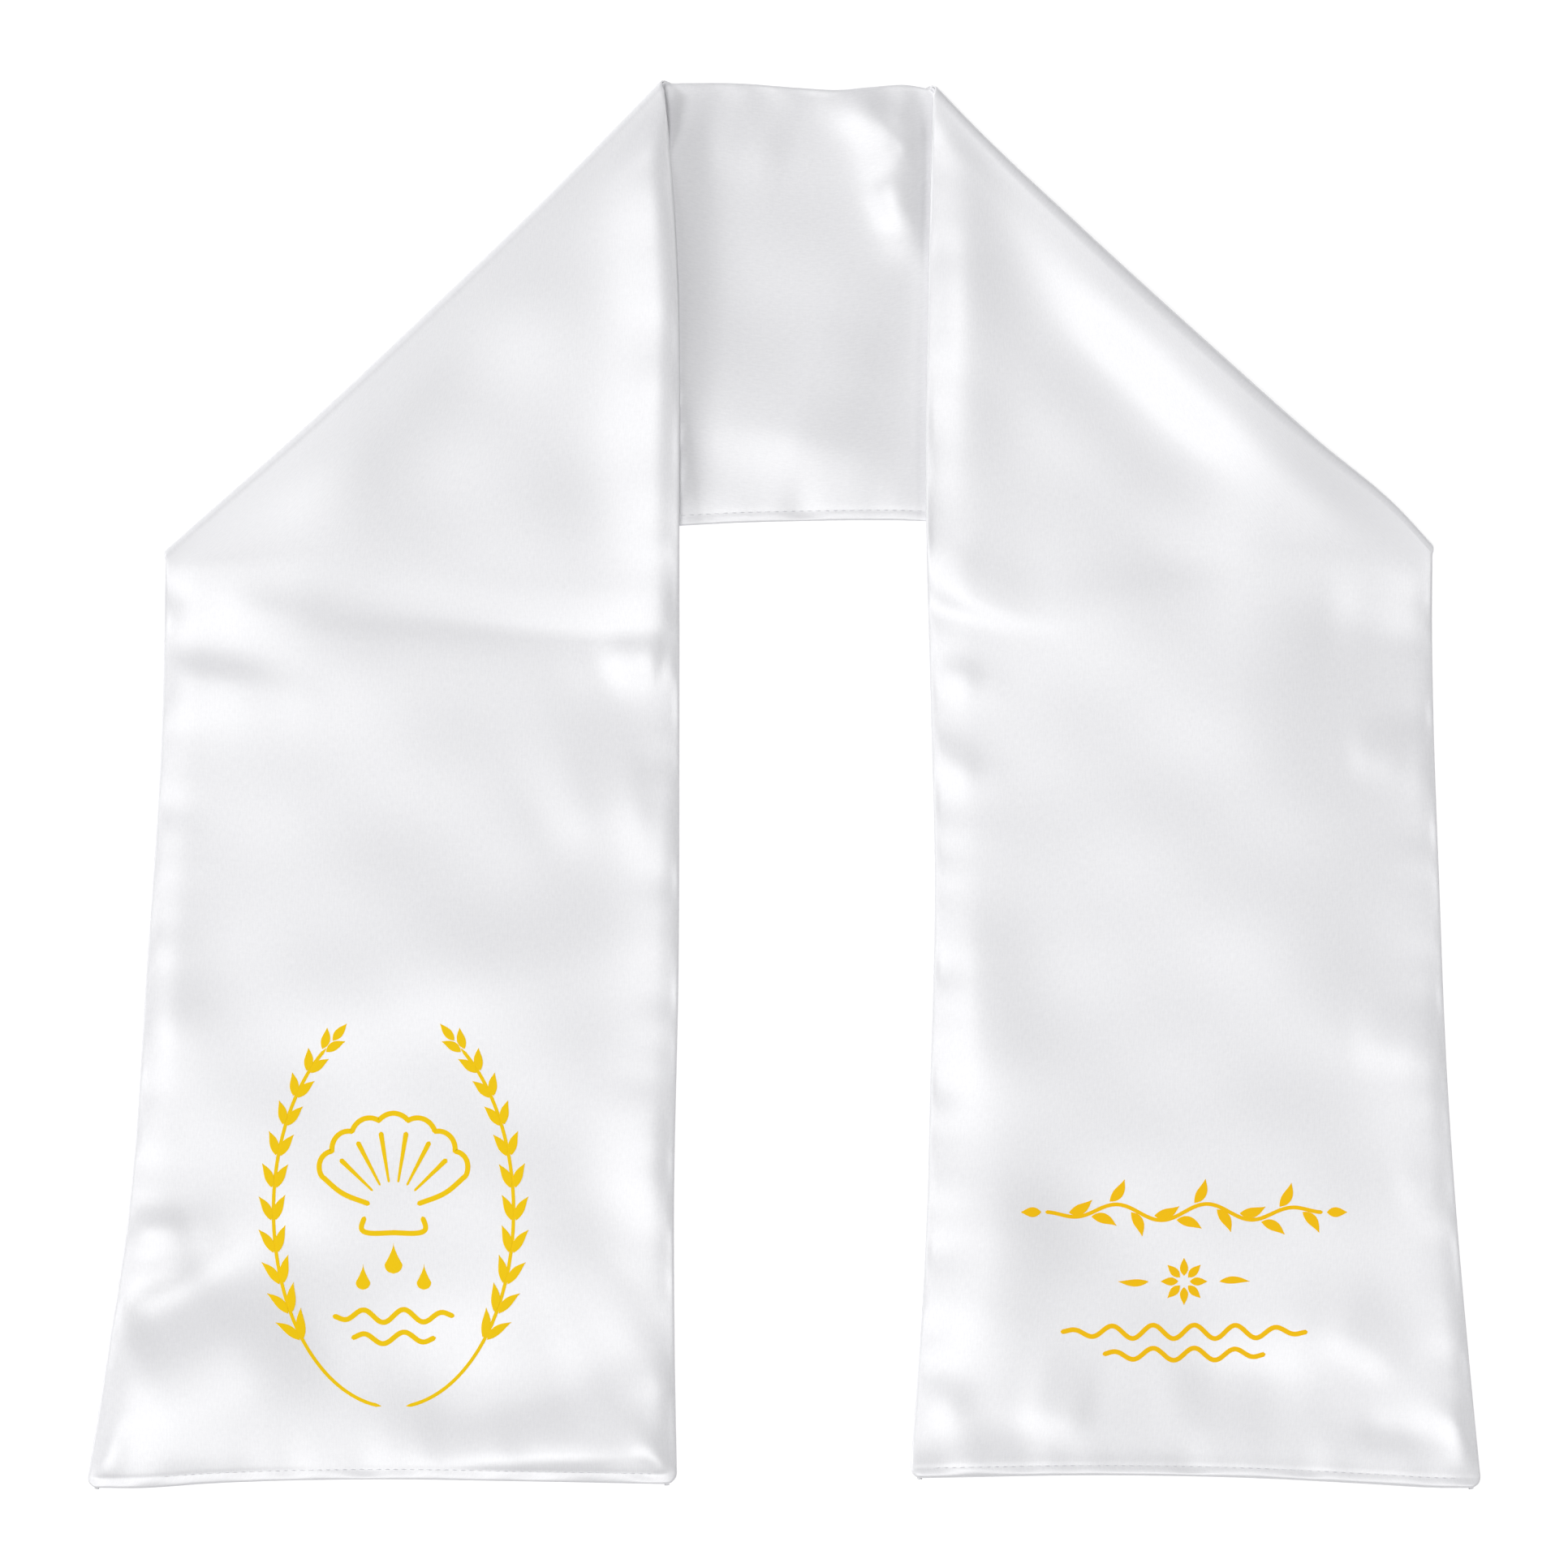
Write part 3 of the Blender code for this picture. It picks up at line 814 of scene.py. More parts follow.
@dataclass(frozen=True)
class Band:
    """The whole sewn band as one grid of rows along it and columns across it."""

    left: Arm = LEFT_ARM
    right: Arm = RIGHT_ARM
    neck: Neck = NECK
    nominal_width: float = 150.0
    edge_insets: tuple[float, ...] = (1.3, 1.9, 2.4, 2.8, 3.2, 3.7, 4.5, 5.6, 7.0, 8.8, 10.6, 12.5)
    hem_insets: tuple[float, ...] = (12.0, 9.0, 7.0, 5.6, 4.6, 3.9, 3.4, 3.0, 2.6, 2.0, 1.3)
    middle_columns: int = 53
    neck_rows: int = 44
    neck_row_power: float = 1.4
    shelf_rows: int = 38
    shelf_row_power: float = 1.5
    slope_rows: int = 14
    arm_rows: int = 94

    def columns(self) -> tuple[Array, Array]:
        """Places the columns: closely round both seams, and evenly between them.

        Returns:
            Place across the band of each column, and its share of the seam's half height.
        """
        edge = np.array([p.inset for p in SEAM] + list(self.edge_insets)) / self.nominal_width
        lift = np.array([p.lift for p in SEAM] + [1.0] * len(self.edge_insets))
        middle = np.linspace(edge[-1], 1 - edge[-1], self.middle_columns + 2)[1:-1]
        across = np.concatenate([edge, middle, 1 - edge[::-1]])
        return across, np.concatenate([lift, np.ones(len(middle)), lift[::-1]])

    def arm_places(self, arm: Arm, across: Array) -> tuple[Array, Array]:
        """Places an arm's rows: over the neck, down to the table, along the arm and round the hem.

        Args:
            arm: the arm.
            across: the place across the band of each column.

        Returns:
            The rows' heights in plan at each column, and their shares of the seam's half height.
        """
        start_y = arm.start(across)[1]
        shelf_y = arm.shelf_end(across)
        landing_y = read_table(arm.landing, "across", "y", across)
        hem_y = read_table(arm.hem, "across", "y", across)
        seam = SEAM[::-1]
        insets = np.array([*self.hem_insets, *(p.inset for p in seam)])[:, None]
        shelf = np.linspace(0, 1, self.shelf_rows + 1)[1:, None] ** self.shelf_row_power
        slope = np.linspace(0, 1, self.slope_rows + 1)[1:, None]
        arm_share = np.linspace(0, 1, self.arm_rows + 1)[1:-1, None]
        y = np.concatenate([
            mix(start_y, shelf_y, shelf),
            mix(shelf_y, landing_y, slope),
            mix(landing_y, hem_y + insets[0], arm_share),
            hem_y + insets,
        ])
        lift = np.ones(len(y))
        lift[-len(seam):] = [p.lift for p in seam]
        return y, lift[:, None]

    def side(self, arm: Arm, across: Array, lift: Array) -> Array:
        """Works out one side of the band, from just past the middle of the neck to the hem.

        Args:
            arm: the arm on that side.
            across: the place across the band of each column.
            lift: each column's share of the seam's half height.

        Returns:
            An array of rows x faces x columns x XYZ.
        """
        shares = np.linspace(0, 1, self.neck_rows + 1)[1:, None] ** self.neck_row_power
        neck = self.neck.surface(arm, across, shares, lift)
        y, row_lift = self.arm_places(arm, across)
        arm_faces = arm.surface(across, y, row_lift * lift)
        roll = arm.roll.surface(across, lift)
        return np.concatenate([neck.swapaxes(1, 2), roll, arm_faces.swapaxes(1, 2)])

    def surface(self) -> Array:
        """Works out both faces of the whole band.

        Returns:
            An array of rows x faces x columns x XYZ, from the left hem to the right hem.
        """
        across, lift = self.columns()
        middle = self.neck.surface(self.left, across, np.zeros((1, 1)), lift).swapaxes(1, 2)
        left, right = (self.side(arm, across, lift) for arm in (self.left, self.right))
        return np.concatenate([left[::-1], middle, right])


# The finishes


def linear(colour: str) -> tuple[float, float, float, float]:
    """Turns an sRGB colour to a linear one.

    Args:
        colour: its hex value, such as #E3E4EA.

    Returns:
        Its red, green and blue, and a full alpha.
    """
    parts = np.array([int(colour[i : i + 2], 16) for i in (1, 3, 5)]) / 255
    parts = np.where(parts <= 0.04045, parts / 12.92, ((parts + 0.055) / 1.055) ** 2.4)
    return (*parts.tolist(), 1.0)


def set_up(node: bpy.types.Node, settings: dict) -> None:
    """Sets a node's values and links.

    Args:
        node: the node.
        settings: its properties by name, and its inputs by name or number. A socket is linked to
            its input, and any other value is set on it.
    """
    for key, value in settings.items():
        if isinstance(value, bpy.types.NodeSocket):
            node.id_data.links.new(value, node.inputs[key])
        elif isinstance(key, str) and hasattr(node, key):
            setattr(node, key, value)
        else:
            node.inputs[key].default_value = value


def add_node(tree: bpy.types.NodeTree, kind: str, settings: dict) -> bpy.types.Node:
    """Adds a node to a tree.

    Args:
        tree: the node tree.
        kind: the node's type.
        settings: its values and links, as for set_up.

    Returns:
        The node.
    """
    node = tree.nodes.new(kind)
    set_up(node, settings)
    return node


def new_material(name: str) -> tuple[bpy.types.Material, bpy.types.NodeTree, bpy.types.Node]:
    """Makes a material with a Principled shader.

    Args:
        name: its name.

    Returns:
        The material, its node tree and the shader.
    """
    material = bpy.data.materials.new(name)
    material.use_nodes = True
    return material, material.node_tree, material.node_tree.nodes["Principled BSDF"]


@dataclass(frozen=True)
class PolyesterSatin:
    """White polyester satin: long floats along the band give a soft, slightly stretched gloss.

    Real floats are about 0.1 mm wide, too fine to show, so the grain is drawn 3 to 5 times as coarse:
    short streaks along the band and fainter ones across it, in the colour and in a shallow bump.
    """

    name: str
    colour: str = "#EDEDF0"
    shade: str = "#DCDCE0"
    roughness: float = 0.4
    ior: float = 1.7
    gloss: float = 1.0
    anisotropy: float = 0.2
    gloss_turn: float = 0.25  # a quarter turn, so that the gloss is wide across the floats
    sheen: float = 0.08
    sheen_roughness: float = 0.4
    streak_length: float = 2.0
    streak_width: float = 0.5
    cross_length: float = 1.6
    cross_width: float = 0.6
    cross_share: float = 0.5
    detail: float = 2.0
    speckle: float = 0.6
    bump_height: float = 0.018

    def material(self) -> bpy.types.Material:
        """Makes the satin's material, which reads the piece's cloth map in metres.

        Returns:
            The material.
        """
        material, tree, shader = new_material(self.name)
        cloth = add_node(tree, "ShaderNodeUVMap", {"uv_map": CLOTH_MAP}).outputs["UV"]
        streaks = self.grain(tree, cloth, self.streak_length, self.streak_width)
        crossing = self.grain(tree, cloth, self.cross_width, self.cross_length)
        both = {"operation": "MULTIPLY_ADD", 0: crossing, 1: self.cross_share, 2: streaks}
        grain = add_node(tree, "ShaderNodeMath", both).outputs[0]
        shades = {"data_type": "RGBA", 0: grain, 6: linear(self.shade), 7: linear(self.colour)}
        relief = {"Strength": 1.0, "Distance": self.bump_height * MM, "Height": grain}
        floats = {"direction_type": "UV_MAP", "uv_map": CLOTH_MAP}
        set_up(shader, {
            "Base Color": add_node(tree, "ShaderNodeMix", shades).outputs[2],
            "Normal": add_node(tree, "ShaderNodeBump", relief).outputs["Normal"],
            "Tangent": add_node(tree, "ShaderNodeTangent", floats).outputs["Tangent"],
            "Roughness": self.roughness,
            "IOR": self.ior,
            "Specular IOR Level": self.gloss,
            "Anisotropic": self.anisotropy,
            "Anisotropic Rotation": self.gloss_turn,
            "Sheen Weight": self.sheen,
            "Sheen Roughness": self.sheen_roughness,
        })
        return material

    def grain(
        self,
        tree: bpy.types.NodeTree,
        cloth: bpy.types.NodeSocket,
        length: float,
        width: float,
    ) -> bpy.types.NodeSocket:
        """Adds streaks to the satin.

        Args:
            tree: the material's node tree.
            cloth: the place on the cloth.
            length: the streaks' length along the band, in millimetres.
            width: their width across it.

        Returns:
            Their strength.
        """
        scale = (1 / (length * MM), 1 / (width * MM), 1.0)
        scaled = add_node(tree, "ShaderNodeMapping", {"Scale": scale, "Vector": cloth}).outputs["Vector"]
        noise = {"Scale": 1.0, "Detail": self.detail, "Roughness": self.speckle, "Vector": scaled}
        return add_node(tree, "ShaderNodeTexNoise", noise).outputs["Fac"]


@dataclass(frozen=True)
class TransferPrint:
    """Golden yellow transfer film: an even, nearly matt film that takes on the satin's grain."""

    name: str
    colour: str
    roughness: float = 0.6
    gloss: float = 0.15
    grain_size: float = 0.6
    detail: float = 2.0
    bump_height: float = 0.01

    def material(self) -> bpy.types.Material:
        """Makes the film's material.

        Returns:
            The material.
        """
        material, tree, shader = new_material(self.name)
        place = add_node(tree, "ShaderNodeTexCoord", {}).outputs["Object"]
        noise = {"Scale": 1 / (self.grain_size * MM), "Detail": self.detail, "Vector": place}
        grain = add_node(tree, "ShaderNodeTexNoise", noise).outputs["Fac"]
        relief = {"Strength": 1.0, "Distance": self.bump_height * MM, "Height": grain}
        set_up(shader, {
            "Base Color": linear(self.colour),
            "Roughness": self.roughness,
            "Specular IOR Level": self.gloss,
            "Normal": add_node(tree, "ShaderNodeBump", relief).outputs["Normal"],
        })
        return material


@dataclass(frozen=True)
class SewingThread:
    """Spun polyester sewing thread: matt, with two plies twisted round each other.

    The real twist is too fine to show, so it is drawn 4 times as coarse: its bands are 2.2 mm apart
    along a hem.
    """

    name: str
    colour: str
    shade: str
    roughness: float = 0.6
    twist: float = 0.55  # length of a real twist, guessed
    coarseness: float = 6.3  # in the wave texture's scale, where 1.6 draws the twist at its real length
    unevenness: float = 0.4

    def material(self) -> bpy.types.Material:
        """Makes the thread's material, with slanting bands for its plies.

        Returns:
            The material.
        """
        material, tree, shader = new_material(self.name)
        place = add_node(tree, "ShaderNodeTexCoord", {}).outputs["Object"]
        scale = 1 / (self.twist * MM * self.coarseness)
        wave = {"bands_direction": "DIAGONAL", "Scale": scale, "Distortion": self.unevenness}
        plies = add_node(tree, "ShaderNodeTexWave", {**wave, "Vector": place}).outputs["Fac"]
        shades = {"data_type": "RGBA", 0: plies, 6: linear(self.shade), 7: linear(self.colour)}
        colour = add_node(tree, "ShaderNodeMix", shades).outputs[2]
        set_up(shader, {"Roughness": self.roughness, "Base Color": colour})
        return material


@dataclass(frozen=True)
class LightTable:
    """Opal white acrylic, lit from below: a matt top that glows, so that shadows on it stay pale."""

    name: str
    colour: str
    glow: float
    roughness: float = 0.9
    gloss: float = 0.1

    def material(self) -> bpy.types.Material:
        """Makes the table's material.

        Returns:
            The material.
        """
        material, _, shader = new_material(self.name)
        set_up(shader, {
            "Base Color": linear(self.colour),
            "Roughness": self.roughness,
            "Specular IOR Level": self.gloss,
            "Emission Color": linear("#FFFFFF"),
            "Emission Strength": self.glow,
        })
        return material


# The pieces: satin panels and stitches


def new_piece(name: str, points: Array, faces: list, finish: bpy.types.Material) -> bpy.types.Object:
    """Makes a piece of the stole.

    Args:
        name: the piece's name.
        points: its vertices, in millimetres.
        faces: its faces, as lists of vertex numbers.
        finish: its material.

    Returns:
        The object, at the origin, riding on the part's body.
    """
    mesh = bpy.data.meshes.new(name)
    mesh.from_pydata(points * MM, [], faces)
    mesh.shade_smooth()
    mesh.set_sharp_from_angle(angle=np.radians(SHARP_ANGLE))
    mesh.materials.append(finish)
    piece = bpy.data.objects.new(name, mesh)
    bpy.context.scene.collection.objects.link(piece)
    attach(piece, BODY)
    log.info("%s: %d vertices, %d faces", name, len(points), len(faces))
    return piece


def travel_along(line: Array) -> Array:
    """The way travelled along a line to each of its points."""
    return np.linalg.norm(np.diff(line, axis=0, prepend=line[:1]), axis=-1).cumsum(axis=0)


def grid_quads(rows: int, columns: int) -> Array:
    """Makes the quads of a grid of vertices, turned from its rows towards its columns.

    Args:
        rows: how many rows it has.
        columns: how many columns.

    Returns:
        Four vertex numbers for each quad.
    """
    number = np.arange(rows * columns).reshape(rows, columns)
    corners = (number[:-1, :-1], number[1:, :-1], number[1:, 1:], number[:-1, 1:])
    return np.stack(corners, axis=-1).reshape(-1, 4)


def grid_normals(surface: Array) -> Array:
    """Unit normals of a grid of points: the slope along its rows crossed with that along columns."""
    normal = np.cross(np.gradient(surface, axis=0), np.gradient(surface, axis=1))
    return normal / np.linalg.norm(normal, axis=-1, keepdims=True)


@dataclass(frozen=True)
class SatinPanel:
    """One of the band's two satin panels, as a thin closed shell under its outer face."""

    name: str
    node: str
    slot: str
    face: Face
    finish: PolyesterSatin
    flat_width: float = 173.0
    flat_length: float = 915.0
    flat_area: float = 0.142  # square metres

    def build(self, band: Band) -> bpy.types.Object:
        """Makes the panel: its outer face, the same face one satin's thickness inside, and a rim.

        Args:
            band: the sewn band.

        Returns:
            The panel's object, which stands for its solid.
        """
        outside = band.surface()
        middle = outside.mean(axis=1)
        outer = outside[:, self.face.value]
        away = 1.0 if self.face is Face.FRONT else -1.0
        inner = outer - grid_normals(outer) * away * CLOTH.satin
        rows, columns = outer.shape[:2]
        count = rows * columns
        quads = grid_quads(rows, columns)
        number = np.arange(count).reshape(rows, columns)
        rim = np.concatenate([number[:, 0], number[-1, 1:], number[-2::-1, -1], number[0, -2:0:-1]])
        after = np.roll(rim, -1)
        sides = np.stack([after, rim, rim + count, after + count], axis=-1)
        faces = np.concatenate([quads, quads[:, ::-1] + count, sides])
        if self.face is Face.BACK:
            faces = faces[:, ::-1]
        points = np.concatenate([outer.reshape(-1, 3), inner.reshape(-1, 3)])
        panel = new_piece(self.name, points, faces.tolist(), self.finish.material())
        self.map_cloth(panel, middle)
        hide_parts(self.node)
        return panel

    def map_cloth(self, panel: bpy.types.Object, middle: Array) -> None:
        """Gives each point its place on the cut cloth: metres along the band, and across it.

        Args:
            panel: the panel's object.
            middle: the grid half way between the band's two faces.
        """
        along = travel_along(middle)
        across = travel_along(middle.swapaxes(0, 1)).T
        along = along - along[len(along) // 2]
        place = np.tile(np.stack([along, across], axis=-1).reshape(-1, 2), (2, 1)) * MM
        corners = np.empty(len(panel.data.loops), dtype=np.int32)
        panel.data.loops.foreach_get("vertex_index", corners)
        layer = panel.data.uv_layers.new(name=CLOTH_MAP)
        layer.uv.foreach_set("vector", place[corners].astype(np.float32).ravel())


@dataclass(frozen=True)
class StitchRow:
    """A row of lockstitches along a line on a face of the band."""

    line: Array  # points that it follows, in order
    up: float  # 1 on a face that looks up, -1 on one that looks down


@dataclass(frozen=True)
class EdgeStitching:
    """The rows of stitches on one panel's face, as one piece of many short threads."""

    name: str
    finish: SewingThread
    pitch: float = 2.5
    length: float = 1.9
    radius: float = 0.15
    bluntness: float = 1.15  # above 1, and more leaves thicker ends
    proud: float = 0.03  # how far a stitch's middle stands above the cloth
    dive: float = 0.16  # how far its ends go down into the cloth
    pressed: float = 0.09  # how far the table pushes one on the underside up into the cloth
    rings: tuple[float, ...] = (-1.0, -0.72, 0.0, 0.72, 1.0)  # shares of its half length
    sides: int = 6
    unevenness: float = 0.04
    seed: int = 5

    def build(self, rows: list[StitchRow]) -> bpy.types.Object:
        """Makes the stitches.

        Each is a thread of six sides through five rings. A ring's centre lies along the row, sunk
        by the dive times the square of its share of the half length, and its radius shrinks with it.

        Args:
            rows: the rows to sew.

        Returns:
            The stitches' object.
        """
        rng = np.random.default_rng(self.seed)
        centres, ways, ups = (np.concatenate(parts) for parts in zip(*(self.places(r) for r in rows)))
        turn = rng.normal(0, self.unevenness, len(centres))[:, None]
        sideways = np.cross(ups, ways)
        ways = ways * np.cos(turn) + sideways * np.sin(turn)
        sideways = np.cross(ups, ways)
        share = np.array(self.rings)[:, None]
        angle = np.arange(self.sides) * 2 * np.pi / self.sides
        radius = self.radius * np.sqrt(self.bluntness - share**2)
        stitch = np.stack(np.broadcast_arrays(
            share * self.length / 2,
            radius * np.cos(angle),
            radius * np.sin(angle) + self.proud - self.dive * share**2,
        ), axis=-1)
        frames = np.stack([ways, sideways, ups], axis=1)
        points = centres[:, None, None] + np.einsum("rsk,nkx->nrsx", stitch, frames)
        return self.finished(points)

    def places(self, row: StitchRow) -> tuple[Array, Array, Array]:
        """Places the stitches of a row, one pitch apart.

        Args:
            row: the row.

        Returns:
            Centre, direction and upward way of each stitch.
        """
        travel = travel_along(row.line)
        at = np.arange(self.pitch / 2, travel[-1], self.pitch)
        centre, ahead = (
            np.stack([np.interp(at + step, travel, row.line[:, k]) for k in range(3)], axis=-1)
            for step in (0.0, self.pitch / 4)
        )
        way = ahead - centre
        centre[:, 2] += self.pressed * (row.up < 0)
        way /= np.linalg.norm(way, axis=-1, keepdims=True)
        up = np.array([0.0, 0.0, row.up]) - way * (way[:, 2:] * row.up)
        return centre, way, up / np.linalg.norm(up, axis=-1, keepdims=True)

    def finished(self, points: Array) -> bpy.types.Object:
        """Joins the rings of each stitch with quads, closes its ends and makes the piece.

        Args:
            points: an array of stitches x rings x sides x XYZ.

        Returns:
            The stitches' object.
        """
        count, rings, sides = points.shape[:3]
        number = np.arange(count * rings * sides).reshape(count, rings, sides)
        after = np.roll(number, -1, axis=2)
        corners = (number[:, :-1], number[:, 1:], after[:, 1:], after[:, :-1])
        quads = np.stack(corners, axis=-1).reshape(-1, 4)[:, ::-1]
        caps = np.concatenate([number[:, 0, ::-1], number[:, -1]])
        faces = quads.tolist() + caps.tolist()
        piece = new_piece(self.name, points.reshape(-1, 3), faces, self.finish.material())
        return piece


def hem_line(arm: Arm, face: Face, count: int = 300) -> Array:
    """Finds the line of the hem's stitches on a face.

    Args:
        arm: the arm.
        face: the face of the band.
        count: how many points the line has.

    Returns:
        Its points.
    """
    across = np.linspace(*arm.hem_sewn, count)
    y = read_table(arm.hem, "across", "y", across) + CLOTH.groove_inset
    return arm.surface(across, y)[:, face.value]


def neck_line(band: Band, face: Face, sewn: float = 0.2, count: int = 200) -> Array:
    """Finds the line of the stitches along the neck's lower edge, which close the turning gap.

    Args:
        band: the sewn band.
        face: the face of it.
        sewn: how far they go from the neck's middle, as a share of the way to each roll.
        count: how many points each half of the line has.

    Returns:
        Its points, from left to right.
    """
    across = np.full(count, 1 - CLOTH.groove_inset / band.neck.width)
    share = np.linspace(0, sewn, count)
    halves = (band.neck.surface(arm, across, share)[:, face.value] for arm in (band.left, band.right))
    left, right = halves
    return np.concatenate([left[:0:-1], right])


# The print: strokes of film, and the two motifs made of them


@dataclass(frozen=True)
class Pen:
    """How finely strokes are drawn, and how their ends and sides are shaped."""

    step: float = 0.5
    leaf_step: float = 0.6
    drop_steps: int = 24
    line_end: float = 0.25  # share of a line's half width that is left at its ends
    leaf_end: float = 0.06  # the same for a leaf
    drop_end: float = 0.08  # half width that a drop starts with
    leaf_belly: float = 0.8  # below 1, a leaf is widest nearer its base
    drop_hollow: float = 1.4  # above 1, a drop's upper sides are hollow


PEN = Pen()


@dataclass(frozen=True)
class Stroke:
    """A printed line: points in millimetres from the motif's centre, and its half width at each."""

    line: Array
    half: Array
    layer: int = 0  # which of several overlapping strokes lies on top


def heading(angle: float) -> Array:
    """The unit way at an angle from +X towards +Y."""
    return np.array([np.cos(angle), np.sin(angle)])


def curve_through(points: list) -> Array:
    """Draws a smooth curve through given points.

    Args:
        points: X and Y of each.

    Returns:
        Points of the curve, a pen's step apart.
    """
    given = np.array(points, dtype=float)
    travel = travel_along(given)
    at = np.linspace(0, travel[-1], max(4, int(travel[-1] / PEN.step)))
    rows = tuple(FilmPoint(t, x, y) for t, (x, y) in zip(travel, given))
    return np.stack([read_table(rows, "travel", k, at) for k in ("x", "y")], axis=-1)


def even_stroke(line: Array, width: float, thin_start: float = 1.0) -> Stroke:
    """Draws a line with round ends.

    Args:
        line: its points.
        width: its width.
        thin_start: share of the width that it starts with.

    Returns:
        The stroke.
    """
    travel = travel_along(line)
    half = width / 2 * mix(thin_start, 1, travel / travel[-1])
    to_end = np.clip(np.minimum(travel, travel[-1] - travel) / half, 0, 1)
    return Stroke(line, half * np.maximum(PEN.line_end, np.sqrt(1 - (1 - to_end) ** 2)))


def leaf(base: Array, angle: float, length: float, half: float, bow: float, layer: int = 1) -> Stroke:
    """Draws a filled leaf or grain: its half width is a sine of the way along it.

    Args:
        base: where it starts.
        angle: which way it points.
        length: its length.
        half: its greatest half width.
        bow: how far it bends to the left, as a share of its length.
        layer: which of several overlapping strokes lies on top.

    Returns:
        The stroke.
    """
    share = np.linspace(0, 1, max(8, int(length / PEN.leaf_step)))[:, None]
    way, side = heading(angle), np.array([-np.sin(angle), np.cos(angle)])
    line = base + way * share * length + side * bow * length * np.sin(np.pi * share)
    width = half * np.maximum(PEN.leaf_end, np.sin(np.pi * share[:, 0] ** PEN.leaf_belly))
    return Stroke(line, width, layer)


def drop(centre: tuple[float, float], height: float, half: float) -> Stroke:
    """Draws a filled water drop: a point that swells to a half circle at its foot.

    Args:
        centre: its middle.
        height: its height.
        half: its greatest half width.

    Returns:
        The stroke.
    """
    share = np.linspace(0, 1, PEN.drop_steps)
    foot = half / height
    swollen = np.sqrt(np.clip(1 - ((share - 1 + foot) / foot) ** 2, 0, 1))
    width = half * np.where(share > 1 - foot, swollen, (share / (1 - foot)) ** PEN.drop_hollow)
    line = np.stack([np.full(len(share), centre[0]), centre[1] + height * (0.5 - share)], axis=-1)
    return Stroke(line, np.maximum(PEN.drop_end, width))


def wave_line(centre: tuple[float, float], width: float, height: float, length: float) -> Array:
    """Draws a wave: a sine that gets lower towards both ends.

    Args:
        centre: its middle.
        width: how wide the whole wave is.
        height: how high it stands in its middle.
        length: its wavelength.

    Returns:
        Its points.
    """
    x = np.linspace(-width / 2, width / 2, int(width / PEN.step))
    fading = 1 - (2 * x / width) ** 4
    y = centre[1] + height * np.sin(2 * np.pi * x / length) * fading
    return np.stack([centre[0] + x, y], axis=-1)


@dataclass(frozen=True)
class GoldPrint:
    """A print on the front face of one arm: a thin film on the cloth, in closed strokes."""

    name: str
    arm: Arm
    centre: tuple[float, float]
    finish: TransferPrint
    film: float = 0.06  # height of the film's top above the cloth
    sunk: float = 0.06  # depth of its underside in the cloth
    bevel: float = 0.05
    least_top: float = 0.6  # share of a thin stroke's width that its flat top keeps
    layer: float = 0.015  # height between overlapping strokes

    def build(self, strokes: list[Stroke]) -> bpy.types.Object:
        """Makes the print.

        Each stroke is a strip of five lines: two edges sunk in the cloth, two shoulders a bevel
        inside them and a middle line on top. Every point takes its height from the face under it.

        Args:
            strokes: the motif's strokes, from its centre.

        Returns:
            The print's object.
        """
        points, faces, count = [], [], 0
        for stroke in strokes:
            ring = self.strip(stroke)
            steps, sides = ring.shape[:2]
            number = np.arange(steps * sides).reshape(steps, sides) + count
            after = np.roll(number, -1, axis=1)
            quads = np.stack([number[:-1], after[:-1], after[1:], number[1:]], axis=-1)
            faces += quads.reshape(-1, 4).tolist() + [number[0, ::-1].tolist(), number[-1].tolist()]
            points.append(ring.reshape(-1, 3))
            count += steps * sides
        piece = new_piece(self.name, np.concatenate(points), faces, self.finish.material())
        return piece

    def strip(self, stroke: Stroke) -> Array:
        """Works out one stroke's strip.

        Args:
            stroke: the stroke.

        Returns:
            An array of steps x five lines x XYZ.
        """
        line = stroke.line + np.array(self.centre)
        way = np.gradient(line, axis=0)
        way /= np.linalg.norm(way, axis=-1, keepdims=True)
        left = np.stack([-way[:, 1], way[:, 0]], axis=-1)
        shoulder = np.maximum(stroke.half - self.bevel, stroke.half * self.least_top)
        offset = np.stack([stroke.half, shoulder, 0 * shoulder, -shoulder, -stroke.half], axis=-1)
        plan = line[:, None] + left[:, None] * offset[..., None]
        level = np.array([-self.sunk, self.film, self.film, self.film, -self.sunk])
        level += self.layer * stroke.layer
        height = self.arm.front_height(plan[..., 0], plan[..., 1]) + level
        return np.concatenate([plan, height[..., None]], axis=-1)


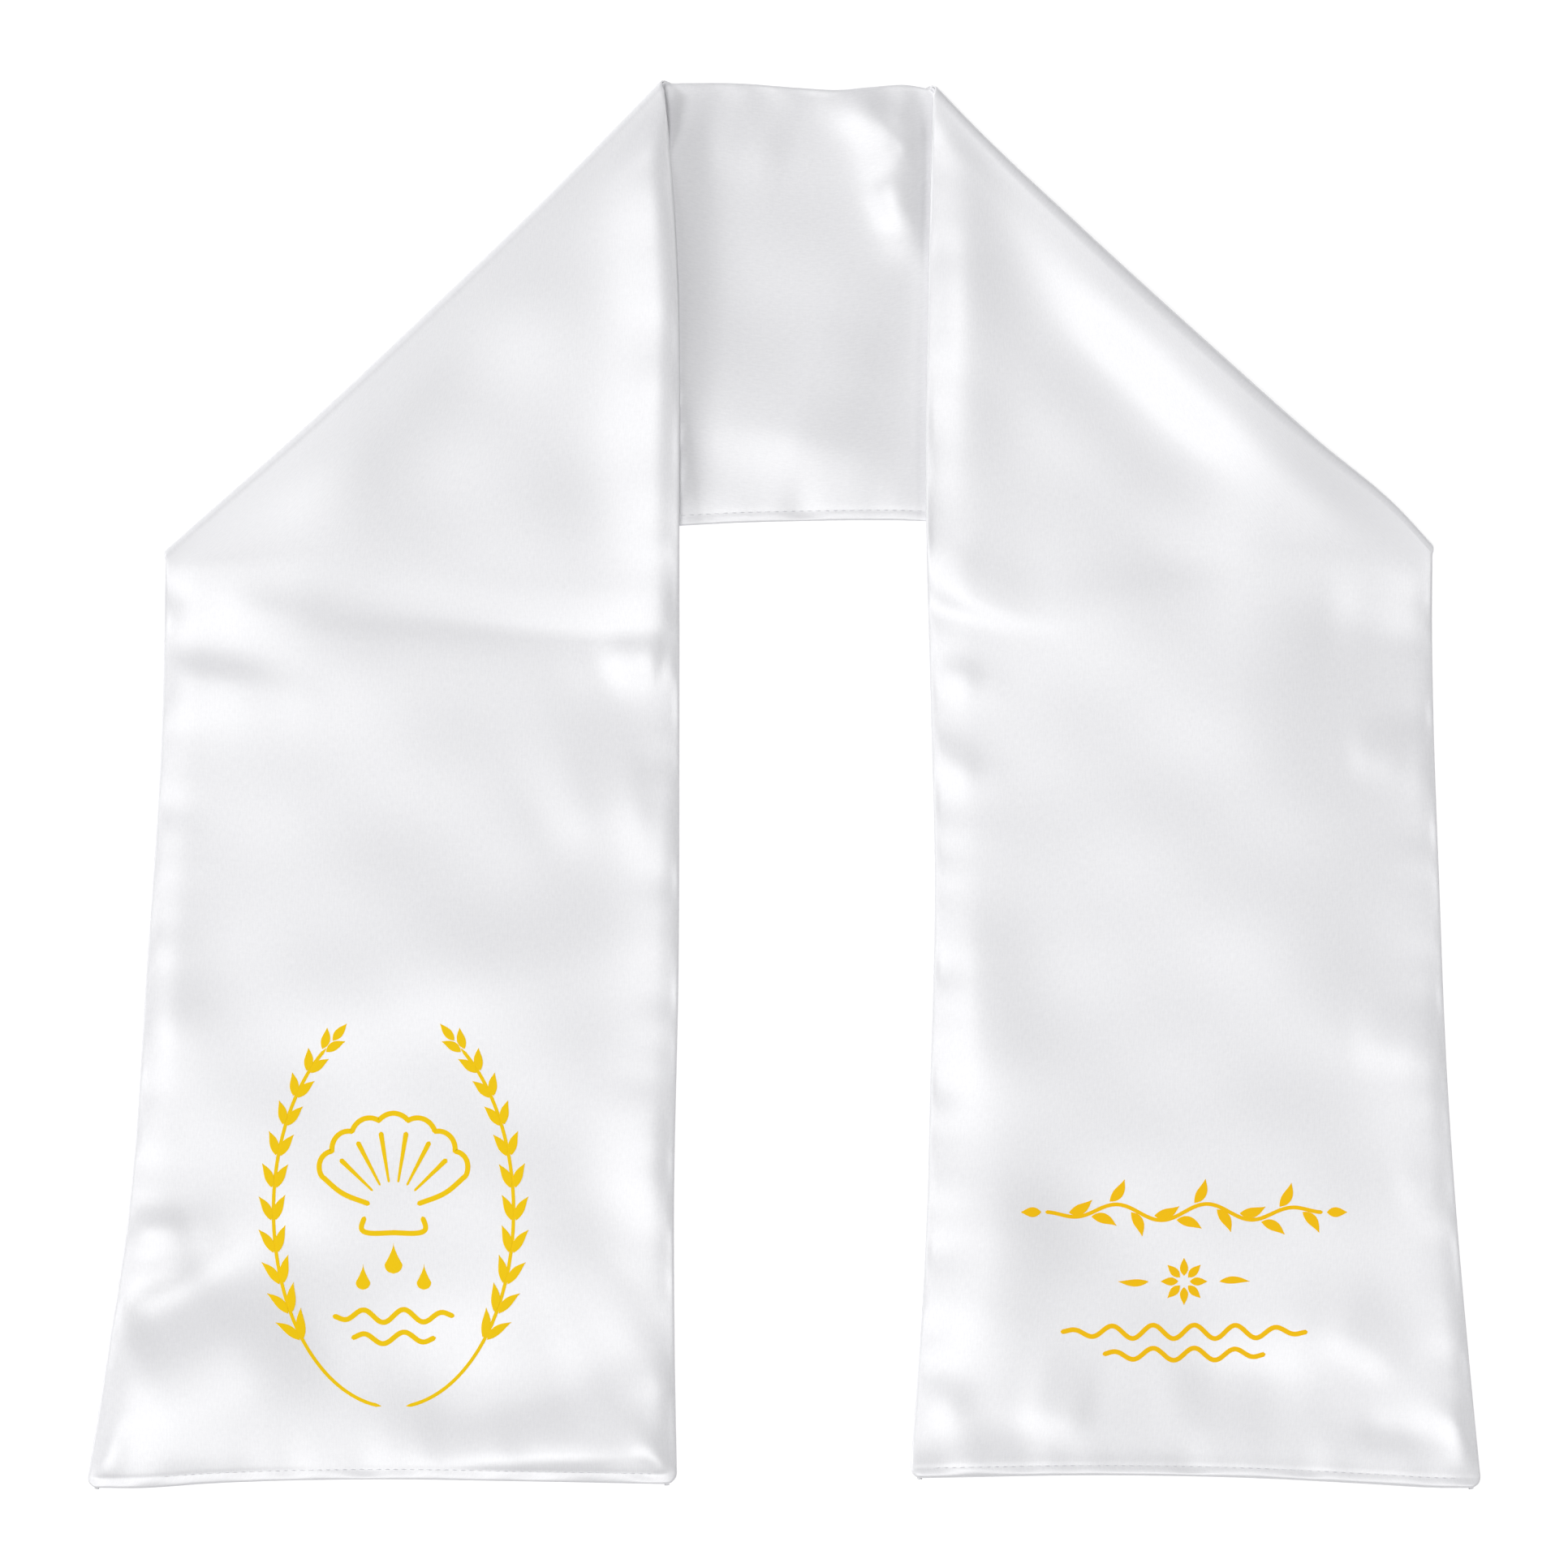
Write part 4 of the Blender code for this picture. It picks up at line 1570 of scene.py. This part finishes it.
@dataclass(frozen=True)
class ShellMotif:
    """A scallop shell with three drops over water, between two ears of wheat."""

    line_width: float = 1.6
    shell_foot: tuple[float, float] = (0.0, 2.0)
    shell_radius: float = 27.0
    shell_spread: float = 1.12  # half of the fan's angle, in radians
    shell_flat: float = 0.13  # how much shorter the fan is at its sides
    lobes: int = 7
    lobe_height: float = 1.9
    lobe_round: float = 0.7  # below 1, a lobe is blunter than a sine
    rim_steps: int = 160
    rib_steps: int = 36
    rib_start: float = 8.5
    rib_gap: float = 3.2  # between a rib and the rim
    rib_thin: float = 0.45  # share of its width that a rib starts with
    base: tuple[float, float] = (7.0, 2.0)  # where the fan's two sides start, from its foot
    hip: tuple[float, float] = (15.5, 5.5)  # and what they pass through
    hinge: tuple = ((-8.5, -1.6), (-9.5, -5.0), (0.0, -6.4), (9.5, -5.0), (8.5, -1.6))
    drops: tuple = (((0.0, -12.0), 9.0, 2.7), ((-9.0, -17.5), 7.5, 2.2), ((9.0, -17.5), 7.5, 2.2))
    waves: tuple = (((0.0, -29.0), 36.0, 1.9, 12.0), ((0.0, -35.5), 25.0, 1.7, 12.5))
    stem_turn: tuple[float, float] = (-84.0, 56.0)  # where on its oval the stem starts and ends
    stem_steps: int = 60
    stem_half: tuple[float, float] = (35.5, 58.0)  # the oval's half width and half height
    stem_level: float = 2.0
    stem_width: float = 0.7  # as a share of the other lines'
    grains: int = 11
    grain_start: float = 0.30  # share of the stem below the first pair
    grain_span: float = 0.68  # and the share that they take up
    grain_length: tuple[float, float] = (8.8, 6.4)  # at the bottom and at the top
    grain_half: float = 1.35
    grain_lean: float = 0.52
    grain_turn: float = 0.8  # how much of its lean a grain points with
    grain_bow: float = 0.12
    grain_off: float = 1.5  # how far from the stem a grain starts
    tip_length: float = 6.5
    tip_half: float = 1.3
    tip_off: float = 0.8  # how far past the stem it starts, as a share of the stem's last two steps

    def strokes(self) -> list[Stroke]:
        """All strokes of the motif."""
        return [*self.shell(), *self.water(), *self.wheat(1.0), *self.wheat(-1.0)]

    def shell(self) -> list[Stroke]:
        """Draws the shell.

        Its rim is an arc that gets shorter with the square of the way to a side, with a bulge for
        each lobe that is a power of a sine. A rib runs between every two lobes.

        Returns:
            The outline, the ribs and the hinge.
        """
        foot = np.array(self.shell_foot)
        share = np.linspace(-1, 1, self.rim_steps)
        angle = share * self.shell_spread
        bulge = np.abs(np.sin(np.pi * self.lobes * (share + 1) / 2)) ** self.lobe_round
        radius = self.shell_radius * (1 - self.shell_flat * share**2) + self.lobe_height * bulge
        rim = foot + np.stack([np.sin(angle), np.cos(angle)], axis=-1) * radius[:, None]
        left, right = np.array([-1.0, 1.0]), np.array([1.0, 1.0])
        first = curve_through([foot + left * self.base, foot + left * self.hip, rim[0]])
        last = curve_through([rim[-1], foot + right * self.hip, foot + right * self.base])
        strokes = [even_stroke(np.concatenate([first[:-1], rim, last[1:]]), self.line_width)]
        for k in range(1, self.lobes):
            across = 2 * k / self.lobes - 1
            bearing = across * self.shell_spread
            way = np.array([np.sin(bearing), np.cos(bearing)])
            rib_end = self.shell_radius * (1 - self.shell_flat * across**2) - self.rib_gap
            line = foot + way * np.linspace(self.rib_start, rib_end, self.rib_steps)[:, None]
            strokes.append(even_stroke(line, self.line_width, self.rib_thin))
        hinge = curve_through([foot + point for point in self.hinge])
        return [*strokes, even_stroke(hinge, self.line_width)]

    def water(self) -> list[Stroke]:
        """Three drops under the shell, and two lines of water under them."""
        lines = [even_stroke(wave_line(*wave), self.line_width) for wave in self.waves]
        return [*(drop(*row) for row in self.drops), *lines]

    def wheat(self, side: float) -> list[Stroke]:
        """Draws one ear of wheat: a stem on an oval, with pairs of grains that get smaller upwards.

        Args:
            side: 1 for the right ear, -1 for the left one.

        Returns:
            Its strokes.
        """
        turn = np.radians(np.linspace(*self.stem_turn, self.stem_steps))
        half_width, half_height = self.stem_half
        stem_x, stem_y = side * half_width * np.cos(turn), self.stem_level + half_height * np.sin(turn)
        stem = np.stack([stem_x, stem_y], axis=-1)
        strokes = [even_stroke(stem, self.line_width * self.stem_width)]
        for k in range(self.grains):
            share = self.grain_start + self.grain_span * k / (self.grains - 1)
            place = share * (len(stem) - 1)
            i = int(place)
            after = min(i + 1, len(stem) - 1)
            base = mix(stem[i], stem[after], place - i)
            run = stem[after] - stem[i - 1]
            bearing = np.arctan2(run[1], run[0])
            size = mix(*self.grain_length, k / (self.grains - 1))
            for lean in (-self.grain_lean, self.grain_lean):
                start = base + heading(bearing + lean) * self.grain_off
                angle, bow = bearing + lean * self.grain_turn, -np.sign(lean) * self.grain_lean
                layer = 1 + 2 * (k % 2) + (lean > 0)
                strokes.append(leaf(start, angle, size, self.grain_half, bow * self.grain_bow, layer))
        tip = stem[-1] - stem[-3]
        angle = float(np.arctan2(tip[1], tip[0]))
        return [*strokes, leaf(stem[-1] + tip * self.tip_off, angle, self.tip_length, self.tip_half, 0.0)]


@dataclass(frozen=True)
class RibbonMotif:
    """Three rows of ornament: a leafy garland, a small flower between drops, and lines of water."""

    line_width: float = 1.5
    stem_wave: tuple = ((0.0, 19.5), 82.0, 2.4, 27.0)
    stem_width: float = 0.8  # as a share of the other lines'
    leaves: int = 12
    leaf_length: float = 7.8
    leaf_half: float = 1.55
    leaf_lean: float = 0.95
    leaf_turn: float = 0.75  # how much of its lean a leaf points with
    leaf_bow: float = 0.1
    leaf_off: float = 1.3  # how far from the stem a leaf starts
    bud_length: float = 6.0
    bud_half: float = 1.5
    bud_off: float = 1.2
    flower: tuple[float, float] = (0.0, -1.0)
    petals: int = 8
    petal_length: float = 5.2
    petal_half: float = 1.25
    petal_off: float = 1.7
    drop_length: float = 9.0
    drop_half: float = 1.1
    drop_bow: float = 0.05
    drop_off: float = 10.5
    waves: tuple = (((0.0, -15.9), 73.0, 2.0, 12.2), ((0.0, -22.5), 48.18, 1.8, 12.2))

    def strokes(self) -> list[Stroke]:
        """All strokes of the motif."""
        water = [even_stroke(wave_line(*wave), self.line_width) for wave in self.waves]
        return [*self.garland(), *self.blossom(), *water]

    def garland(self) -> list[Stroke]:
        """Draws a waving stem with a leaf on each side of every bend, and a bud at both ends.

        Returns:
            Its strokes.
        """
        stem = wave_line(*self.stem_wave)
        strokes = [even_stroke(stem, self.line_width * self.stem_width)]
        for k in range(1, self.leaves + 1):
            i = int(k / (self.leaves + 1) * (len(stem) - 1))
            run = stem[i + 1] - stem[i - 1]
            bearing = np.arctan2(run[1], run[0])
            lean = self.leaf_lean if k % 2 else -self.leaf_lean
            start = stem[i] + heading(bearing + lean) * self.leaf_off
            angle, bow = bearing + lean * self.leaf_turn, -lean * self.leaf_bow
            strokes.append(leaf(start, angle, self.leaf_length, self.leaf_half, bow))
        for i, side in ((-1, 1.0), (0, -1.0)):
            start = stem[i] + np.array([side, 0.0]) * self.bud_off
            bearing = 0.0 if side > 0 else np.pi
            strokes.append(leaf(start, bearing, self.bud_length, self.bud_half, 0.0))
        return strokes

    def blossom(self) -> list[Stroke]:
        """Draws petals round an open middle, with a lying drop on each side.

        Returns:
            Its strokes.
        """
        centre = np.array(self.flower)
        strokes = []
        for k in range(self.petals):
            bearing = 2 * np.pi * k / self.petals
            start = centre + heading(bearing) * self.petal_off
            strokes.append(leaf(start, bearing, self.petal_length, self.petal_half, 0.0))
        for bearing in (0.0, np.pi):
            start = centre + np.array([np.cos(bearing), 0.0]) * self.drop_off
            strokes.append(leaf(start, bearing, self.drop_length, self.drop_half, self.drop_bow))
        return strokes


# The studio


class SoftLight(NamedTuple):
    """A wide soft light, far enough off to be even over the whole stole."""

    name: str
    azimuth: float  # degrees from +X towards +Y
    tilt: float  # degrees off the vertical
    spread: float  # degrees that it is wide, as seen from the stole
    strength: float  # watts on a square metre that faces it


@dataclass(frozen=True)
class Studio:
    """The pale floor, the soft light and the camera straight above."""

    floor_size: float = 6.0  # metres
    floor_drop: float = 0.1  # how far the floor lies under the cloth
    camera_lens: float = 300.0  # millimetres, on a 36 mm sensor
    frame_width: float = 463.7  # what the picture shows from side to side, in millimetres
    world_colour: str = "#FFFFFF"
    world_strength: float = 0.20
    table: LightTable = LightTable("lit_white_acrylic_table", "#B4B4B4", 0.72)
    lights: tuple[SoftLight, ...] = rows_of(
        SoftLight,
        ("light_left", 200.0, 17.0, 17.0, 0.68),
        ("light_front", 264.0, 17.0, 17.0, 0.63),
        ("light_left_low", 160.0, 66.0, 14.0, 1.5),
        ("light_right_low", 15.0, 52.0, 20.0, 0.42),
    )

    def floor(self) -> bpy.types.Object:
        """Makes the floor, just under the cloth.

        Returns:
            The floor's object.
        """
        half, level = self.floor_size / 2, -self.floor_drop * MM
        mesh = bpy.data.meshes.new("floor")
        corners = [(x * half, y * half, level) for x, y in ((-1, -1), (1, -1), (1, 1), (-1, 1))]
        mesh.from_pydata(corners, [], [(0, 1, 2, 3)])
        mesh.materials.append(self.table.material())
        floor = bpy.data.objects.new("floor", mesh)
        bpy.context.scene.collection.objects.link(floor)
        return floor

    def light_up(self) -> None:
        """Sets an even white surround, and the soft lights round the camera."""
        world = bpy.data.worlds.new("studio_surround")
        world.use_nodes = True
        surround = world.node_tree.nodes["Background"]
        set_up(surround, {"Color": linear(self.world_colour), "Strength": self.world_strength})
        bpy.context.scene.world = world
        for soft in self.lights:
            turn, tilt = np.radians(soft.azimuth), np.radians(soft.tilt)
            data = bpy.data.lights.new(soft.name, "SUN")
            data.angle, data.energy = np.radians(soft.spread), soft.strength
            light = bpy.data.objects.new(soft.name, data)
            light.rotation_euler = (0.0, tilt, turn)
            bpy.context.scene.collection.objects.link(light)

    def place_camera(self) -> None:
        """Puts the camera straight above, with +Y up in the picture and the whole frame in view."""
        data = bpy.data.cameras.new("camera")
        data.lens = self.camera_lens
        camera = bpy.data.objects.new("camera", data)
        camera.location = (0.0, 0.0, self.frame_width * MM * self.camera_lens / data.sensor_width)
        bpy.context.scene.collection.objects.link(camera)
        bpy.context.scene.camera = camera
        bpy.context.scene.view_settings.view_transform = "Standard"


def main() -> None:
    """Builds the stole's pieces in order, then the studio round them."""
    logging.basicConfig(level=logging.INFO, format="%(name)s: %(message)s")
    band = Band()
    studio = Studio()
    floor = studio.floor()

    back_satin = PolyesterSatin("white_polyester_satin_back")
    front_satin = PolyesterSatin("white_polyester_satin_front")
    back = SatinPanel("back_cloth", "back_panel", "back_satin", Face.BACK, back_satin)
    front = SatinPanel("front_cloth", "front_panel", "front_satin", Face.FRONT, front_satin)
    back_cloth, front_cloth = back.build(band), front.build(band)

    # Each row of stitches shows on both faces. The neck's front face looks down, and its back face up
    thread = SewingThread("white_sewing_thread", "#ECECEF", "#DADADF")
    stitched = {}
    for face, hem_up in ((Face.FRONT, 1.0), (Face.BACK, -1.0)):
        rows = [StitchRow(hem_line(arm, face), hem_up) for arm in (LEFT_ARM, RIGHT_ARM)]
        stitched[face] = [*rows, StitchRow(neck_line(band, face), -hem_up)]
    front_thread = EdgeStitching("front_stitches", thread).build(stitched[Face.FRONT])
    back_thread = EdgeStitching("back_stitches", thread, seed=9).build(stitched[Face.BACK])

    gold = TransferPrint("golden_yellow_transfer_film", "#FFD300")
    amber = TransferPrint("amber_yellow_transfer_film", "#FFC800")
    shell = GoldPrint("left_print", LEFT_ARM, (-115.4, -128.2), gold).build(ShellMotif().strokes())
    ribbon = GoldPrint("right_print", RIGHT_ARM, (118.2, -146.0), amber).build(RibbonMotif().strokes())

    studio.light_up()
    studio.place_camera()


if __name__ == "__main__":
    main()
